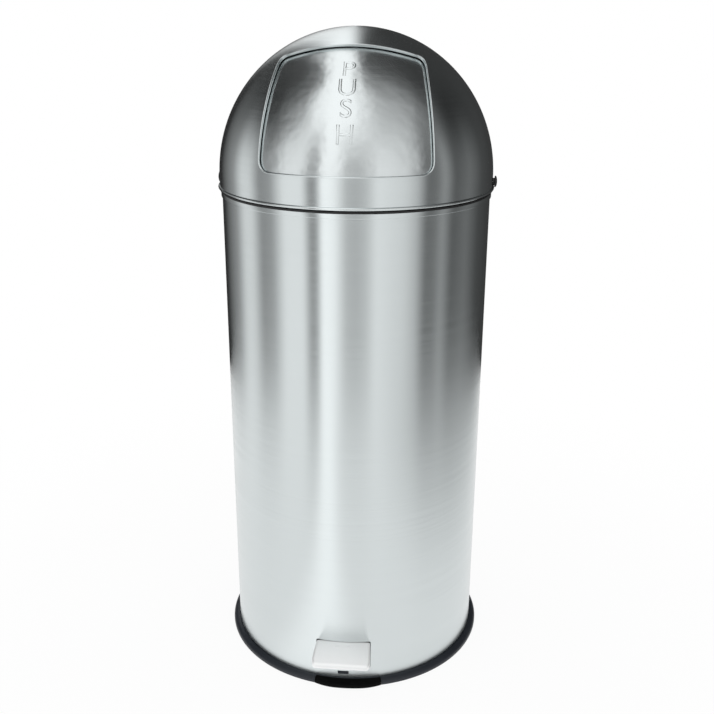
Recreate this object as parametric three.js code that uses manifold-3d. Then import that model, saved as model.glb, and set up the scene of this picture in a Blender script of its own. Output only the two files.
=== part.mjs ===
// Dome top waste receptacle: a floor-standing steel bin with a pedal-lifted dome lid and a
// push flap in the dome. Millimetres, +Z up, origin on the floor under the body's axis.
// The front, with the pedal and the flap, faces -Y.
import * as THREE from 'three';
import { mergeVertices } from 'three/addons/utils/BufferGeometryUtils.js';
import Module from 'manifold-3d';

const wasm = await Module();
wasm.setup();

// ---------------------------------------------------------------- driving dimensions

const roundSteps = 40; // facets round the bin
const smallSteps = 8; // facets round pins, rivets and screws
const seatGap = 0.3; // between a piece and what it rests on
const boreGap = 0.4; // radial, round a pin, rivet or screw
const slideGap = 0.5; // beside a part that swings or slides

const bodyRadius = 190;
const bodySheet = 1;
const bodyTop = 706.5; // height of the shell's rim above the floor
const rimBandHeight = 7;
const rimBandProud = 1.6; // how far the rolled rim stands out of the shell

const baseFlange = 10; // how far the base stands out of the shell
const baseHeight = 8.8; // of the outer flange
const baseFloor = 2.6;
const baseChannelFloor = 3; // the shell's lower edge stands on this
const baseWall = 3.2;
const baseWallHeight = 23;
const tabWidth = 15.4;
const tabHeight = 4.6;
const tabCentre = 17.5; // height of the snap tabs that lock the shell
const baseLip = 2.2; // upright lip round the shell's channel
const baseShoulder = 2.8; // height where the flange starts to curve in
const baseRibs = 12; // webs that stiffen the floor
const baseRibHeight = 6;
const baseRibSheet = 2;
const baseHubRadius = 56; // ring rib round the lever bracket
const toePadHalfAngle = 15; // degrees
const toePadProud = 5;
const toePadShoulder = 3.2;

const ringFlange = 2;
const ringProud = 2.5; // flange beyond the shell
const ringInset = 27; // the ring's inner edge inside the shell's radius
const ringUpstandInset = 17; // its upstand round the bucket's rim
const ringUpstandHeight = 5;
const ringWall = 3;
const ringSkirtDepth = 16;
const bufferHeadRadius = 4.2;
const bufferStemRadius = 1.2;
const lidLift = 1.5; // air between the ring and the lid's lower edge

const bucketAir = 4; // between the bucket's wall and the ring
const bucketTaper = 16; // top radius less bottom radius
const bucketFloorHeight = 95;
const bucketSheet = 1;
const bucketFootRise = 3; // pressed recess inside the foot
const bucketFootWidth = 11;
const bucketRimWidth = 10;
const bucketBeadHeight = 5;
const bailOut = 2.5; // bail's wire beyond the bucket's wall
const bailWireRadius = 2.5;
const gripRadius = 6;
const gripHalfAngle = 16; // degrees
const earThickness = 2;
const earWidth = 20;
const earDrop = 26; // ear plate below the bail's axis

const lidOverhang = 3; // lid's wall outside the shell
const lidSheet = 1.2;
const lidSkirt = 17.7; // straight wall below the dome
const domeRise = 197.5; // from the top of the skirt to the crown
const domeSteps = 8;
const lidBeadProud = 2.3;
const lidBeadHeight = 4;
const lidBeadReturn = 2.8; // how far the lower edge turns in

const mouthSill = 23; // above the top of the skirt
const mouthWidth = 223; // at the sill
const mouthTopWidth = 196; // where the sides meet the upper corners
const mouthSideHeight = 123; // sill to the upper corners
const mouthHeight = 153; // sill to the middle of the arched top
const mouthSillCorner = 16;
const mouthTopCorner = 16;
const mouthSideBulge = 5;
const mouthHem = 1.2; // half width of the hem, and how far it stands proud

const pivotHeight = 8.7; // of the flap's pivots above the lid's lower edge
const flapInset = 3.5; // flap's face inside the dome's face
const flapRiseLess = 1.5; // flap's rise less than the dome's
const flapDrop = 4; // the flap's own centre below the dome's
const flapSheet = 1.2;
const flapLap = 8; // flap behind the mouth's sides
const flapLowAngle = 7; // degrees above the pivot, lower edge
const flapHighAngle = 74; // degrees above the pivot, upper edge
const flapArmAngle = 30; // degrees, top of the side arms
const flapEyeRadius = 8;
const pivotPinRadius = 2.9;
const pivotCapRadius = 8;
const stopOffset = 60; // of the flap's rubber stops from the middle
const stopHalfAngle = 2.3; // degrees
const stopDepth = 8;

const hingeOut = 13; // hinge axis behind the shell
const hingeDrop = 7.3; // hinge axis below the lid's lower edge
const hingeHalfWidth = 30;
const hingeEndMargin = 2; // leaf beyond the outer knuckles
const knuckleHalf = 14.4; // the moving knuckle, half its length
const knuckleGap = 0.6;
const hingeSheet = 4; // fixed leaf's pad
const hingeRivetDrop = 45; // rivets of the fixed leaf below the shell's rim
const hingeRivetRise = 3; // rivets of the moving leaf above the skirt
const hingePinRadius = 2.2;
const hingeKnuckleRadius = 4.8;
const hingeRivetOffset = 20;
const rivetRadius = 2;
const rivetHeadRadius = 4;
const rivetHeadHeight = 1.6;

const lugReach = 22; // lift lug's nose from the hinge axis
const lugAngle = 30; // degrees below level with the lid shut
const lugNoseRadius = 4;
const lugHalfWidth = 6;
const lugPadDrop = 8; // lug's pad below the top of the skirt
const lugPadRise = 11; // and above its rivets
const lugPadSheet = 3.5;
const rodRadius = 2.5;
const rodCapRadius = 4;
const rodCapLength = 12;
const rodStart = 0.4; // air under the lug's nose with the lid shut
const guideLow = 240; // heights of the rod's two guides
const guideHigh = 600;
const guideLength = 18;
const guideHalfWidth = 9;
const guideDepth = 5.5; // guide in front of the rod's axis

const leverAxisHeight = 61;
const leverTop = 68;
const leverHalfWidth = 15;
const leverSheet = 2;
const leverDepth = 12;
const leverRearLap = 2; // lever beyond the rod's axis
const leverPinRadius = 4;
const bracketSheet = 2;
const bracketFoot = 38;
const bracketEye = 8; // radius of the cheeks round the pin
const bracketHalfLength = 18;
const bossRadius = 5;
const bossHeight = 8;
const screwOffsetX = 29;
const screwOffsetY = 11;
const screwRadius = 1.7;
const screwHeadRadius = 3.6;

const pedalReach = 42; // beyond the shell
const pedalRootWidth = 80;
const pedalFrontWidth = 87;
const pedalSheet = 2;
const pedalFall = 10; // root to front edge
const pedalLip = 6;
const pedalEdge = 7; // turned-down sides
const pedalFlat = 20; // level part of the tread from its root
const pedalNose = 6; // where the tread turns down into the lip
const pedalNoseRise = 1.5;
const pedalCornerDepth = 12; // cut corners at the front
const pedalCornerWidth = 7;
const pedalRivetX = 8;
const pedalRivetOut = 8; // rivets in front of the shell
const slotSide = 3; // air beside the pedal in the shell's slot
const slotFloor = 26;
const slotAir = 1.2; // above the pedal

// ---------------------------------------------------------------- worked-out places

const rad = THREE.MathUtils.degToRad;
const lidRadius = bodyRadius + lidOverhang;
const flapRadius = lidRadius - flapInset;
const flapRise = domeRise - flapRiseLess;
const flapHalfWidth = mouthWidth / 2 + flapLap;
const ringInnerRadius = bodyRadius - ringInset;
const ringUpstandRadius = bodyRadius - ringUpstandInset;
const bucketTopRadius = ringInnerRadius - bucketAir;
const bucketBottomRadius = bucketTopRadius - bucketTaper;
const bailRadius = bucketTopRadius + bailOut;
const shellBottom = baseChannelFloor + seatGap;
const innerRadius = bodyRadius - bodySheet;
const baseRadius = bodyRadius + baseFlange;
const ringBottom = bodyTop + seatGap;
const ringTop = ringBottom + ringFlange;
const lidBottom = ringTop + lidLift;
const skirtTop = lidBottom + lidSkirt;
const pivotZ = lidBottom + pivotHeight;
const hingeY = bodyRadius + hingeOut;
const hingeZ = lidBottom - hingeDrop;
const noseY = hingeY - lugReach * Math.cos(rad(lugAngle));
const noseZ = hingeZ - lugReach * Math.sin(rad(lugAngle));
const rodY = noseY;
const leverRearReach = rodY + leverRearLap;
const rodTop = noseZ - lugNoseRadius - rodStart;
const rodBottom = leverTop + seatGap;
const bucketRim = ringTop + seatGap;
const bucketTop = bucketRim + bucketBeadHeight;
const bailZ = bucketTop + seatGap + gripRadius;
const pedalRootZ = leverTop + seatGap + pedalSheet + 1;
const leverFrontReach = bodyRadius + 11;

// ---------------------------------------------------------------- solids

const axisX = new THREE.Vector3(1, 0, 0);
const axisY = new THREE.Vector3(0, 1, 0);
const axisZ = new THREE.Vector3(0, 0, 1);

// A closed geometry as a solid, turned right side out.
function solid(geometry) {
  let bare = geometry.index ? geometry : geometry.clone();
  bare.deleteAttribute('normal');
  bare.deleteAttribute('uv');
  bare = mergeVertices(bare, 1e-4);
  const kept = [];
  const index = bare.index.array;
  for (let i = 0; i < index.length; i += 3) {
    const [a, b, c] = [index[i], index[i + 1], index[i + 2]];
    if (a !== b && b !== c && c !== a) kept.push(a, b, c);
  }
  const vertProperties = new Float32Array(bare.attributes.position.array);
  const build = (triVerts) => new wasm.Manifold(new wasm.Mesh({ numProp: 3, vertProperties, triVerts }));
  const made = build(new Uint32Array(kept));
  if (made.volume() > 0) return made;
  for (let i = 0; i < kept.length; i += 3) {
    [kept[i], kept[i + 1]] = [kept[i + 1], kept[i]];
  }
  return build(new Uint32Array(kept));
}

// A profile of [radius, height] points turned about the bin's axis. A profile that doesn't
// start and end on the axis is closed on itself.
function turned(profile, steps = roundSteps) {
  const points = profile.map(([r, z]) => new THREE.Vector2(r, z));
  const onAxis = points[0].x === 0 && points[points.length - 1].x === 0;
  if (!onAxis) points.push(points[0].clone());
  return solid(new THREE.LatheGeometry(points, steps).rotateX(Math.PI / 2));
}

// The same, turned about a line along X or Y through a point.
function turnedAbout(axis, at, profile, steps = smallSteps) {
  const points = profile.map(([r, z]) => new THREE.Vector2(r, z));
  const onAxis = points[0].x === 0 && points[points.length - 1].x === 0;
  if (!onAxis) points.push(points[0].clone());
  const geometry = new THREE.LatheGeometry(points, steps);
  geometry.applyQuaternion(new THREE.Quaternion().setFromUnitVectors(axisY, axis));
  return solid(geometry.translate(...at));
}

function bar(axis, radius, from, to, at, steps = smallSteps) {
  return turnedAbout(axis, at, [[0, from], [radius, from], [radius, to], [0, to]], steps);
}

function sleeve(axis, inner, outer, from, to, at, steps = smallSteps) {
  return turnedAbout(axis, at, [[inner, from], [outer, from], [outer, to], [inner, to]], steps);
}

// Prisms of an outline: seen from above [x, y], from the front [x, z] or from the side [y, z].
function prism(outline, from, to, right, up, out) {
  const shape = outline instanceof THREE.Shape ? outline
    : new THREE.Shape(outline.map(([a, b]) => new THREE.Vector2(a, b)));
  const geometry = new THREE.ExtrudeGeometry(shape, {
    depth: to - from, bevelEnabled: false, curveSegments: 6,
  });
  geometry.translate(0, 0, from);
  return solid(geometry.applyMatrix4(new THREE.Matrix4().makeBasis(right, up, out)));
}
const planPrism = (outline, z0, z1) => prism(outline, z0, z1, axisX, axisY, axisZ);
const sidePrism = (outline, x0, x1) => prism(outline, x0, x1, axisY, axisZ, axisX);
const frontPrism = (outline, y0, y1) => prism(outline, -y1, -y0, axisX, axisZ, axisY.clone().negate());

function block([x0, x1], [y0, y1], [z0, z1]) {
  return planPrism([[x0, y0], [x1, y0], [x1, y1], [x0, y1]], z0, z1);
}

// A wedge of the whole height whose middle faces an angle, 0 at the front, 90 towards +X.
function wedge(middle, half) {
  const reach = 2 * bodyRadius;
  const corner = (a) => [reach * Math.sin(rad(a)), -reach * Math.cos(rad(a))];
  const outline = [[0, 0], corner(middle - half), corner(middle), corner(middle + half)];
  return planPrism(outline, -10, bodyTop + 2 * domeRise);
}

function sector(profile, middle, half) {
  return turned(profile).intersect(wedge(middle, half));
}

function ringSector(r0, r1, z0, z1, middle, half) {
  return sector([[r0, z0], [r1, z0], [r1, z1], [r0, z1]], middle, half);
}

// How far a facet of the bin falls away from the corner at its side, a radius off it.
const facetFall = (radius) => radius * Math.tan(Math.PI / roundSteps);

const arcPoints = (steps, from, to, place) => Array.from({ length: steps + 1 }, (_, i) =>
  place(rad(from + ((to - from) * i) / steps)));

const joined = (...pieces) => pieces.reduce((sum, piece) => sum.add(piece));
const mirrored = (make) => [['left', -1], ['right', 1]].forEach(([side, sign]) => make(side, sign));

// ---------------------------------------------------------------- scene graph

const steel = { color: 0xb9bcc0, roughness: 0.32, metalness: 1 };
const dullSteel = { color: 0x9a9da1, roughness: 0.45, metalness: 1 };
const zinc = { color: 0xa6a8a6, roughness: 0.5, metalness: 0.9 };
const darkPlastic = { color: 0x2b2e31, roughness: 0.55, metalness: 0 };
const blackPlastic = { color: 0x141516, roughness: 0.5, metalness: 0 };
const blackRubber = { color: 0x0c0c0c, roughness: 0.85, metalness: 0 };

const receptacle = new THREE.Group();
const groups = {};
for (const name of ['bin', 'bucket', 'lid', 'flap', 'pedal', 'rod', 'bail']) {
  groups[name] = new THREE.Group();
  receptacle.add(groups[name]);
}

function part(groupName, name, shape, finish) {
  const { vertProperties, triVerts, numProp } = shape.getMesh();
  const geometry = new THREE.BufferGeometry();
  const positions = new Float32Array((vertProperties.length / numProp) * 3);
  for (let i = 0; i < positions.length / 3; i++) {
    positions.set(vertProperties.subarray(i * numProp, i * numProp + 3), i * 3);
  }
  geometry.setAttribute('position', new THREE.BufferAttribute(positions, 3));
  geometry.setIndex(new THREE.BufferAttribute(new Uint32Array(triVerts), 1));
  geometry.computeVertexNormals();
  const mesh = new THREE.Mesh(geometry, new THREE.MeshStandardMaterial(finish));
  mesh.name = name;
  groups[groupName].add(mesh);
  return mesh;
}

// A rivet along an axis: a head at each end of a shank.
function rivet(axis, at, near, far, headRadius = rivetHeadRadius) {
  return turnedAbout(axis, at, [
    [0, near - rivetHeadHeight], [headRadius * 0.65, near - rivetHeadHeight], [headRadius, near],
    [rivetRadius, near], [rivetRadius, far], [headRadius, far],
    [headRadius * 0.65, far + rivetHeadHeight], [0, far + rivetHeadHeight],
  ]);
}
const rivetHole = (axis, at, from, to) => bar(axis, rivetRadius + boreGap, from, to, at);

// ---------------------------------------------------------------- base

const tabAngles = [0, 120, 240];
const halfAngleOf = (width, radius) => THREE.MathUtils.radToDeg(Math.asin(width / 2 / radius));

function basePan() {
  const inner = innerRadius - seatGap;
  const outer = bodyRadius + seatGap;
  const brow = outer + baseLip - 2 * seatGap;
  const shoulder = arcPoints(4, 0, 90, (a) => [
    brow + (baseRadius - brow) * Math.cos(a), baseShoulder + (baseHeight - baseShoulder) * Math.sin(a)]);
  let pan = turned([
    [0, 0], [baseRadius - 0.8, 0], [baseRadius, 0.8], ...shoulder, [outer, baseHeight],
    [outer, baseChannelFloor], [inner, baseChannelFloor], [inner, baseWallHeight],
    [inner - baseWall, baseWallHeight], [inner - baseWall, baseFloor], [0, baseFloor],
  ]);
  const padRoom = ringSector(outer + baseLip, baseRadius + 10, -5, baseHeight + 5, 0,
    toePadHalfAngle + halfAngleOf(2 * seatGap, baseRadius));
  pan = pan.subtract(padRoom);
  for (const angle of tabAngles) {
    pan = pan.add(ringSector(inner - 1, bodyRadius, tabCentre - tabHeight / 2,
      tabCentre + tabHeight / 2, angle, halfAngleOf(tabWidth, bodyRadius)));
  }
  for (const [x, y] of screwPlaces()) {
    pan = pan.add(bar(axisZ, bossRadius, baseFloor - 1, bossHeight, [x, y, 0]));
    pan = pan.subtract(bar(axisZ, screwRadius + boreGap, 3.5, bossHeight + 1, [x, y, 0]));
  }
  return pan.add(floorRibs(inner - baseWall));
}

// A ring rib round the lever bracket and webs from it to the wall.
function floorRibs(wallRadius) {
  const top = baseFloor + baseRibHeight;
  const half = baseRibSheet / 2;
  const hub = turned([[baseHubRadius - half, baseFloor - 1], [baseHubRadius + half, baseFloor - 1],
    [baseHubRadius + half, top], [baseHubRadius - half, top]]);
  const webs = Array.from({ length: baseRibs }, (_, i) => {
    const web = block([-half, half], [-wallRadius - 1, -baseHubRadius], [baseFloor - 1, top]);
    return web.rotate([0, 0, ((i + 0.5) * 360) / baseRibs]);
  });
  return joined(hub, ...webs);
}

function toePad() {
  const inner = bodyRadius + baseLip + 2 * seatGap;
  const outer = baseRadius + toePadProud;
  const lower = toePadShoulder;
  const shoulder = arcPoints(4, 0, 80, (a) => [
    inner + (outer - inner) * Math.cos(a), lower + (baseHeight + seatGap - lower) * Math.sin(a)]);
  const profile = [[inner, seatGap], [outer - 1, seatGap], [outer, 1.2], ...shoulder,
    [inner, baseHeight + seatGap]];
  return sector(profile, 0, toePadHalfAngle);
}

// ---------------------------------------------------------------- body shell and its rim ring

const slotHalfWidth = pedalRootWidth / 2 + slotSide;
const slotTop = pedalRootZ + slotAir;

function roundedFront(halfWidth, z0, z1, corner) {
  const shape = new THREE.Shape();
  shape.moveTo(-halfWidth + corner, z0);
  shape.lineTo(halfWidth - corner, z0);
  shape.quadraticCurveTo(halfWidth, z0, halfWidth, z0 + corner);
  shape.lineTo(halfWidth, z1 - corner);
  shape.quadraticCurveTo(halfWidth, z1, halfWidth - corner, z1);
  shape.lineTo(-halfWidth + corner, z1);
  shape.quadraticCurveTo(-halfWidth, z1, -halfWidth, z1 - corner);
  shape.lineTo(-halfWidth, z0 + corner);
  shape.quadraticCurveTo(-halfWidth, z0, -halfWidth + corner, z0);
  return shape;
}

function bodyShell() {
  const band = bodyRadius + rimBandProud;
  const bandBottom = bodyTop - rimBandHeight;
  let shell = turned([
    [innerRadius, shellBottom], [bodyRadius, shellBottom], [bodyRadius, bandBottom],
    [band - 0.4, bandBottom], [band, bandBottom + 0.8], [band, bodyTop - 1], [band - 1, bodyTop],
    [innerRadius, bodyTop],
  ]);
  const front = [-bodyRadius - 10, -bodyRadius / 2];
  shell = shell.subtract(frontPrism(roundedFront(slotHalfWidth, slotFloor, slotTop, 6), ...front));
  for (const angle of tabAngles) {
    const half = tabHeight / 2 + slideGap;
    shell = shell.subtract(ringSector(innerRadius - 5, bodyRadius + 5, tabCentre - half,
      tabCentre + half, angle, halfAngleOf(tabWidth + 2 * slideGap, bodyRadius)));
  }
  mirrored((side, sign) => {
    const at = [sign * hingeRivetOffset, 0, bodyRivetZ];
    shell = shell.subtract(rivetHole(axisY, at, bodyRadius - 20, bodyRadius + 5));
  });
  return shell;
}

const rearNotch = () => block([-lugHalfWidth - 6, lugHalfWidth + 6],
  [noseY - lugNoseRadius - 9, bodyRadius + 10], [ringBottom - 2 * ringSkirtDepth, skirtTop]);

const bufferCentre = innerRadius - seatGap - bufferStemRadius - boreGap - facetFall(3);
const bufferAngles = [60, 180 - 60, -60, -120];

function rimRing() {
  const skirtOuter = innerRadius - seatGap;
  const skirtInner = skirtOuter - ringWall - 1.2;
  const lip = ringBottom - 7;
  let ring = turned([
    [ringInnerRadius, lip], [ringInnerRadius + 2, lip], [ringInnerRadius + 2, ringBottom],
    [skirtInner, ringBottom], [skirtInner, ringBottom - ringSkirtDepth],
    [skirtOuter, ringBottom - ringSkirtDepth], [skirtOuter, ringBottom],
    [bodyRadius + ringProud, ringBottom], [bodyRadius + ringProud, ringTop],
    [ringUpstandRadius, ringTop], [ringUpstandRadius, ringTop + ringUpstandHeight],
    [ringUpstandRadius - ringWall, ringTop + ringUpstandHeight],
    [ringUpstandRadius - ringWall, ringTop], [ringInnerRadius, ringTop],
  ]);
  ring = ring.subtract(rearNotch());
  for (const place of bufferPlaces()) {
    ring = ring.subtract(bar(axisZ, bufferStemRadius + boreGap, ringTop - 8, ringTop + 1, place));
  }
  return ring;
}

const bufferPlaces = () => bufferAngles.map((angle) =>
  [bufferCentre * Math.sin(rad(angle)), -bufferCentre * Math.cos(rad(angle)), 0]);

function lidBuffer(place) {
  const top = lidBottom - seatGap;
  const bottom = ringTop + seatGap;
  return turnedAbout(axisZ, place, [[0, ringTop - 7], [bufferStemRadius, ringTop - 7],
    [bufferStemRadius, bottom], [bufferHeadRadius, bottom], [bufferHeadRadius, top - 0.3],
    [bufferHeadRadius - 0.5, top], [0, top]]);
}

// ---------------------------------------------------------------- bucket

const bucketWallAt = (z) => THREE.MathUtils.mapLinear(z, bucketFloorHeight, bucketRim,
  bucketBottomRadius, bucketTopRadius);

function innerBucket() {
  const top = bucketTopRadius;
  const foot = bucketBottomRadius - bucketFootWidth;
  const rise = bucketFootRise;
  let bucket = turned([
    [0, bucketFloorHeight + rise], [foot - rise, bucketFloorHeight + rise], [foot, bucketFloorHeight],
    [bucketBottomRadius - 2, bucketFloorHeight],
    [bucketBottomRadius, bucketFloorHeight + 2], [top, bucketRim],
    [top + bucketRimWidth, bucketRim], [top + bucketRimWidth, bucketRim + 1.5],
    [top + 6, bucketRim + 1.5], [top + 5.4, bucketTop - 1], [top + 4, bucketTop],
    [top, bucketTop], [top - bucketSheet, bucketTop - 1],
    [bucketBottomRadius - bucketSheet, bucketFloorHeight + 3],
    [bucketBottomRadius - 3, bucketFloorHeight + bucketSheet],
    [foot + 0.5, bucketFloorHeight + bucketSheet],
    [foot - rise + 0.5, bucketFloorHeight + rise + bucketSheet],
    [0, bucketFloorHeight + rise + bucketSheet],
  ]);
  const at = [0, 0, earRivetZ];
  bucket = bucket.subtract(rivetHole(axisX, at, -bodyRadius, bodyRadius));
  return bucket;
}

const earRivetZ = ringBottom - 10;
const earOuter = bucketWallAt(earRivetZ) - bucketSheet - 1.6;

function bucketEar(sign) {
  const half = earWidth / 2;
  const plate = sidePrism(earOutline(half), earOuter - earThickness, earOuter);
  const shaped = plate.subtract(bar(axisX, bailWireRadius + slideGap, 0, bodyRadius, [0, 0, bailZ]))
    .subtract(rivetHole(axisX, [0, 0, earRivetZ], 0, bodyRadius));
  return sign > 0 ? shaped : shaped.mirror([1, 0, 0]);
}

function earOutline(half) {
  const shape = new THREE.Shape();
  shape.moveTo(-half, bailZ - earDrop);
  shape.lineTo(half, bailZ - earDrop);
  shape.lineTo(half, bailZ - 4);
  shape.quadraticCurveTo(half, bailZ + half - 2, 0, bailZ + half - 2);
  shape.quadraticCurveTo(-half, bailZ + half - 2, -half, bailZ - 4);
  return shape;
}

function earRivet(sign) {
  const wall = bucketWallAt(earRivetZ) + seatGap + 0.2;
  const made = rivet(axisX, [0, 0, earRivetZ], earOuter - earThickness - seatGap, wall, 3.4);
  return sign > 0 ? made : made.mirror([1, 0, 0]);
}

const circleProfile = (radius, tube, z, steps) => arcPoints(steps - 1, 0, 360 - 360 / steps,
  (a) => [radius + tube * Math.cos(a), z + tube * Math.sin(a)]);

function bucketBail() {
  const loop = turned(circleProfile(bailRadius, bailWireRadius, bailZ, 6), 36);
  const rear = block([-bodyRadius, bodyRadius], [0, bodyRadius], [0, bodyTop + domeRise]);
  let bail = loop.intersect(rear);
  const inner = earOuter - earThickness - slideGap;
  for (const sign of [-1, 1]) {
    const end = turnedAbout(axisX, [0, 0, bailZ], [
      [0, inner - 2.5], [4, inner - 2.5], [4, inner], [bailWireRadius, inner],
      [bailWireRadius, bailRadius + 1.5], [0, bailRadius + 1.5],
    ]);
    bail = bail.add(sign > 0 ? end : end.mirror([1, 0, 0]));
  }
  return bail;
}

function bailGrip() {
  const outer = turned(circleProfile(bailRadius, gripRadius, bailZ, 10), 36);
  const bore = turned(circleProfile(bailRadius, bailWireRadius + seatGap, bailZ, 6), 36);
  return outer.subtract(bore).intersect(wedge(180, gripHalfAngle));
}

// ---------------------------------------------------------------- dome lid

// The filled space under a dome: a straight skirt from the foot, then a half ellipse.
function domeSolid(radius, rise, centre, foot) {
  const crown = arcPoints(domeSteps, 0, 90, (a) => [radius * Math.cos(a), centre + rise * Math.sin(a)]);
  crown[crown.length - 1][0] = 0;
  return turned([[0, foot], [radius, foot], ...crown]);
}
const domeFilled = (offset, foot) => domeSolid(lidRadius + offset, domeRise + offset, skirtTop, foot);

// The mouth seen from the front: flat sill, leaning sides and an arched top.
function mouthShape(grow) {
  const sill = skirtTop + mouthSill - grow;
  const low = mouthWidth / 2 + grow;
  const high = mouthTopWidth / 2 + grow;
  const shoulder = skirtTop + mouthSill + mouthSideHeight;
  const top = skirtTop + mouthSill + mouthHeight + grow;
  const cornerLow = mouthSillCorner + grow;
  const cornerX = high - mouthTopCorner;
  const cornerZ = (shoulder + top) / 2 + 2;
  const bulge = mouthSideBulge;
  const shape = new THREE.Shape();
  shape.moveTo(-low + cornerLow, sill);
  shape.lineTo(low - cornerLow, sill);
  shape.quadraticCurveTo(low, sill, low, sill + cornerLow);
  shape.quadraticCurveTo((low + high) / 2 + bulge, (sill + shoulder) / 2 + cornerLow / 2, high, shoulder);
  shape.quadraticCurveTo(high - 2, cornerZ - 3, cornerX, cornerZ);
  shape.quadraticCurveTo(cornerX / 2, top, 0, top);
  shape.quadraticCurveTo(-cornerX / 2, top, -cornerX, cornerZ);
  shape.quadraticCurveTo(-high + 2, cornerZ - 3, -high, shoulder);
  shape.quadraticCurveTo(-(low + high) / 2 - bulge, (sill + shoulder) / 2 + cornerLow / 2,
    -low, sill + cornerLow);
  shape.quadraticCurveTo(-low, sill, -low + cornerLow, sill);
  return shape;
}

function domeLid() {
  const front = [-lidRadius - 20, 0];
  let lid = domeFilled(0, lidBottom).subtract(domeFilled(-lidSheet, lidBottom - 1));
  const beadOuter = lidRadius + lidBeadProud;
  const bead = turned([
    [lidRadius - lidBeadReturn, lidBottom], [beadOuter - 0.8, lidBottom],
    [beadOuter, lidBottom + 1], [beadOuter, lidBottom + lidBeadHeight - 1],
    [beadOuter - 0.8, lidBottom + lidBeadHeight], [lidRadius - lidSheet / 2, lidBottom + lidBeadHeight],
    [lidRadius - lidSheet / 2, lidBottom + lidSheet], [lidRadius - lidBeadReturn, lidBottom + lidSheet],
  ]);
  lid = lid.add(bead).subtract(frontPrism(mouthShape(0), ...front));
  const hemBand = frontPrism(mouthShape(mouthHem), ...front).subtract(frontPrism(mouthShape(-mouthHem),
    front[0] - 1, front[1] + 1));
  const hemShell = domeFilled(mouthHem - lidSheet / 2, lidBottom)
    .subtract(domeFilled(-mouthHem - lidSheet / 2, lidBottom - 1));
  lid = lid.add(hemBand.intersect(hemShell));
  const pinHole = bar(axisX, pivotPinRadius + boreGap, -bodyRadius - 20, bodyRadius + 20, [0, 0, pivotZ]);
  lid = lid.subtract(pinHole);
  mirrored((side, sign) => {
    const at = [sign * hingeRivetOffset, 0, lidRivetZ];
    lid = lid.subtract(rivetHole(axisY, at, bodyRadius - 20, bodyRadius + 20));
  });
  return lid;
}

// ---------------------------------------------------------------- push flap

// An outline seen from the side between two angles above the pivot.
function flapSide(lowAngle, highAngle, reach) {
  const middle = (lowAngle + highAngle) / 2;
  const corner = (a, r) => [-r * Math.cos(rad(a)), pivotZ + r * Math.sin(rad(a))];
  return [[0, pivotZ], corner(lowAngle, reach), corner(middle, reach * 1.3), corner(highAngle, reach)];
}

function armSide() {
  const reach = Math.sqrt(flapRadius ** 2 - flapHalfWidth ** 2) + 3;
  const corner = (a) => [-reach * Math.cos(rad(a)), pivotZ + reach * Math.sin(rad(a))];
  const eye = flapEyeRadius;
  return [[eye * 0.3, pivotZ - eye * 0.95], corner(flapLowAngle), corner(flapArmAngle),
    [eye * 0.3, pivotZ + eye * 0.95]].reverse();
}

function flapShape() {
  const centre = skirtTop - flapDrop;
  const foot = pivotZ - flapEyeRadius - 1;
  const outer = domeSolid(flapRadius, flapRise, centre, foot);
  const inner = domeSolid(flapRadius - flapSheet, flapRise - flapSheet, centre, foot - 1);
  const shell = outer.subtract(inner);
  const span = bodyRadius + 10;
  const door = sidePrism(flapSide(flapLowAngle, flapHighAngle, 1.5 * flapRadius),
    -flapHalfWidth, flapHalfWidth);
  const arms = sidePrism(armSide(), -span, span);
  const eyes = bar(axisX, flapEyeRadius, -span, span, [0, 0, pivotZ], 24);
  const middle = block([-flapHalfWidth + flapLap, flapHalfWidth - flapLap], [-span, span],
    [foot - 1, foot + 2 * flapRise]);
  const sides = joined(arms, eyes).subtract(middle);
  const pinHole = bar(axisX, pivotPinRadius + boreGap, -span, span, [0, 0, pivotZ]);
  return shell.intersect(door.add(sides)).subtract(pinHole);
}

// A shouldered pin through the dome's skirt, the spacer and the flap's eye.
const flapEyeInner = flapRadius - flapSheet;
const domeInner = lidRadius - lidSheet;
const pinEnd = lidRadius + 3.2;

function flapPin() {
  const head = 5.6;
  const seat = flapEyeInner - seatGap - facetFall(head);
  return turnedAbout(axisX, [0, 0, pivotZ], [
    [0, seat - 3], [head - 1, seat - 3], [head, seat - 2], [head, seat], [pivotPinRadius, seat],
    [pivotPinRadius, pinEnd], [0, pinEnd],
  ]);
}

function flapSpacer() {
  const outer = flapEyeRadius - 2.5;
  return sleeve(axisX, pivotPinRadius + boreGap, outer, flapRadius + seatGap,
    domeInner - seatGap - facetFall(outer), [0, 0, pivotZ]);
}

function pivotCap() {
  const rimStart = lidRadius + lidBeadProud + seatGap + 0.1;
  const face = rimStart + 3.4;
  const bore = pivotPinRadius + seatGap;
  const hub = pivotHeight - lidBeadHeight - seatGap;
  return turnedAbout(axisX, [0, 0, pivotZ], [
    [bore, lidRadius + seatGap], [hub, lidRadius + seatGap], [hub, rimStart],
    [pivotCapRadius, rimStart], [pivotCapRadius, rimStart + 1.4],
    [pivotCapRadius * 0.8, rimStart + 2.7], [pivotCapRadius * 0.4, face], [0, face + 0.1],
    [0, pinEnd + seatGap], [bore, pinEnd + seatGap],
  ], 12);
}

function flapStop(sign) {
  const inner = domeInner - seatGap;
  const half = stopHalfAngle;
  const middle = sign * halfAngleOf(2 * stopOffset, inner);
  const edge = Math.sqrt((inner - stopDepth) ** 2 - (stopOffset - 8) ** 2);
  const top = pivotZ + edge * Math.tan(rad(flapLowAngle)) - 2 * seatGap;
  return ringSector(inner - stopDepth, inner, top - 9, top, middle, half)
    .intersect(domeFilled(-lidSheet - seatGap, lidBottom));
}

// ---------------------------------------------------------------- rear hinge and lift lug

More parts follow.
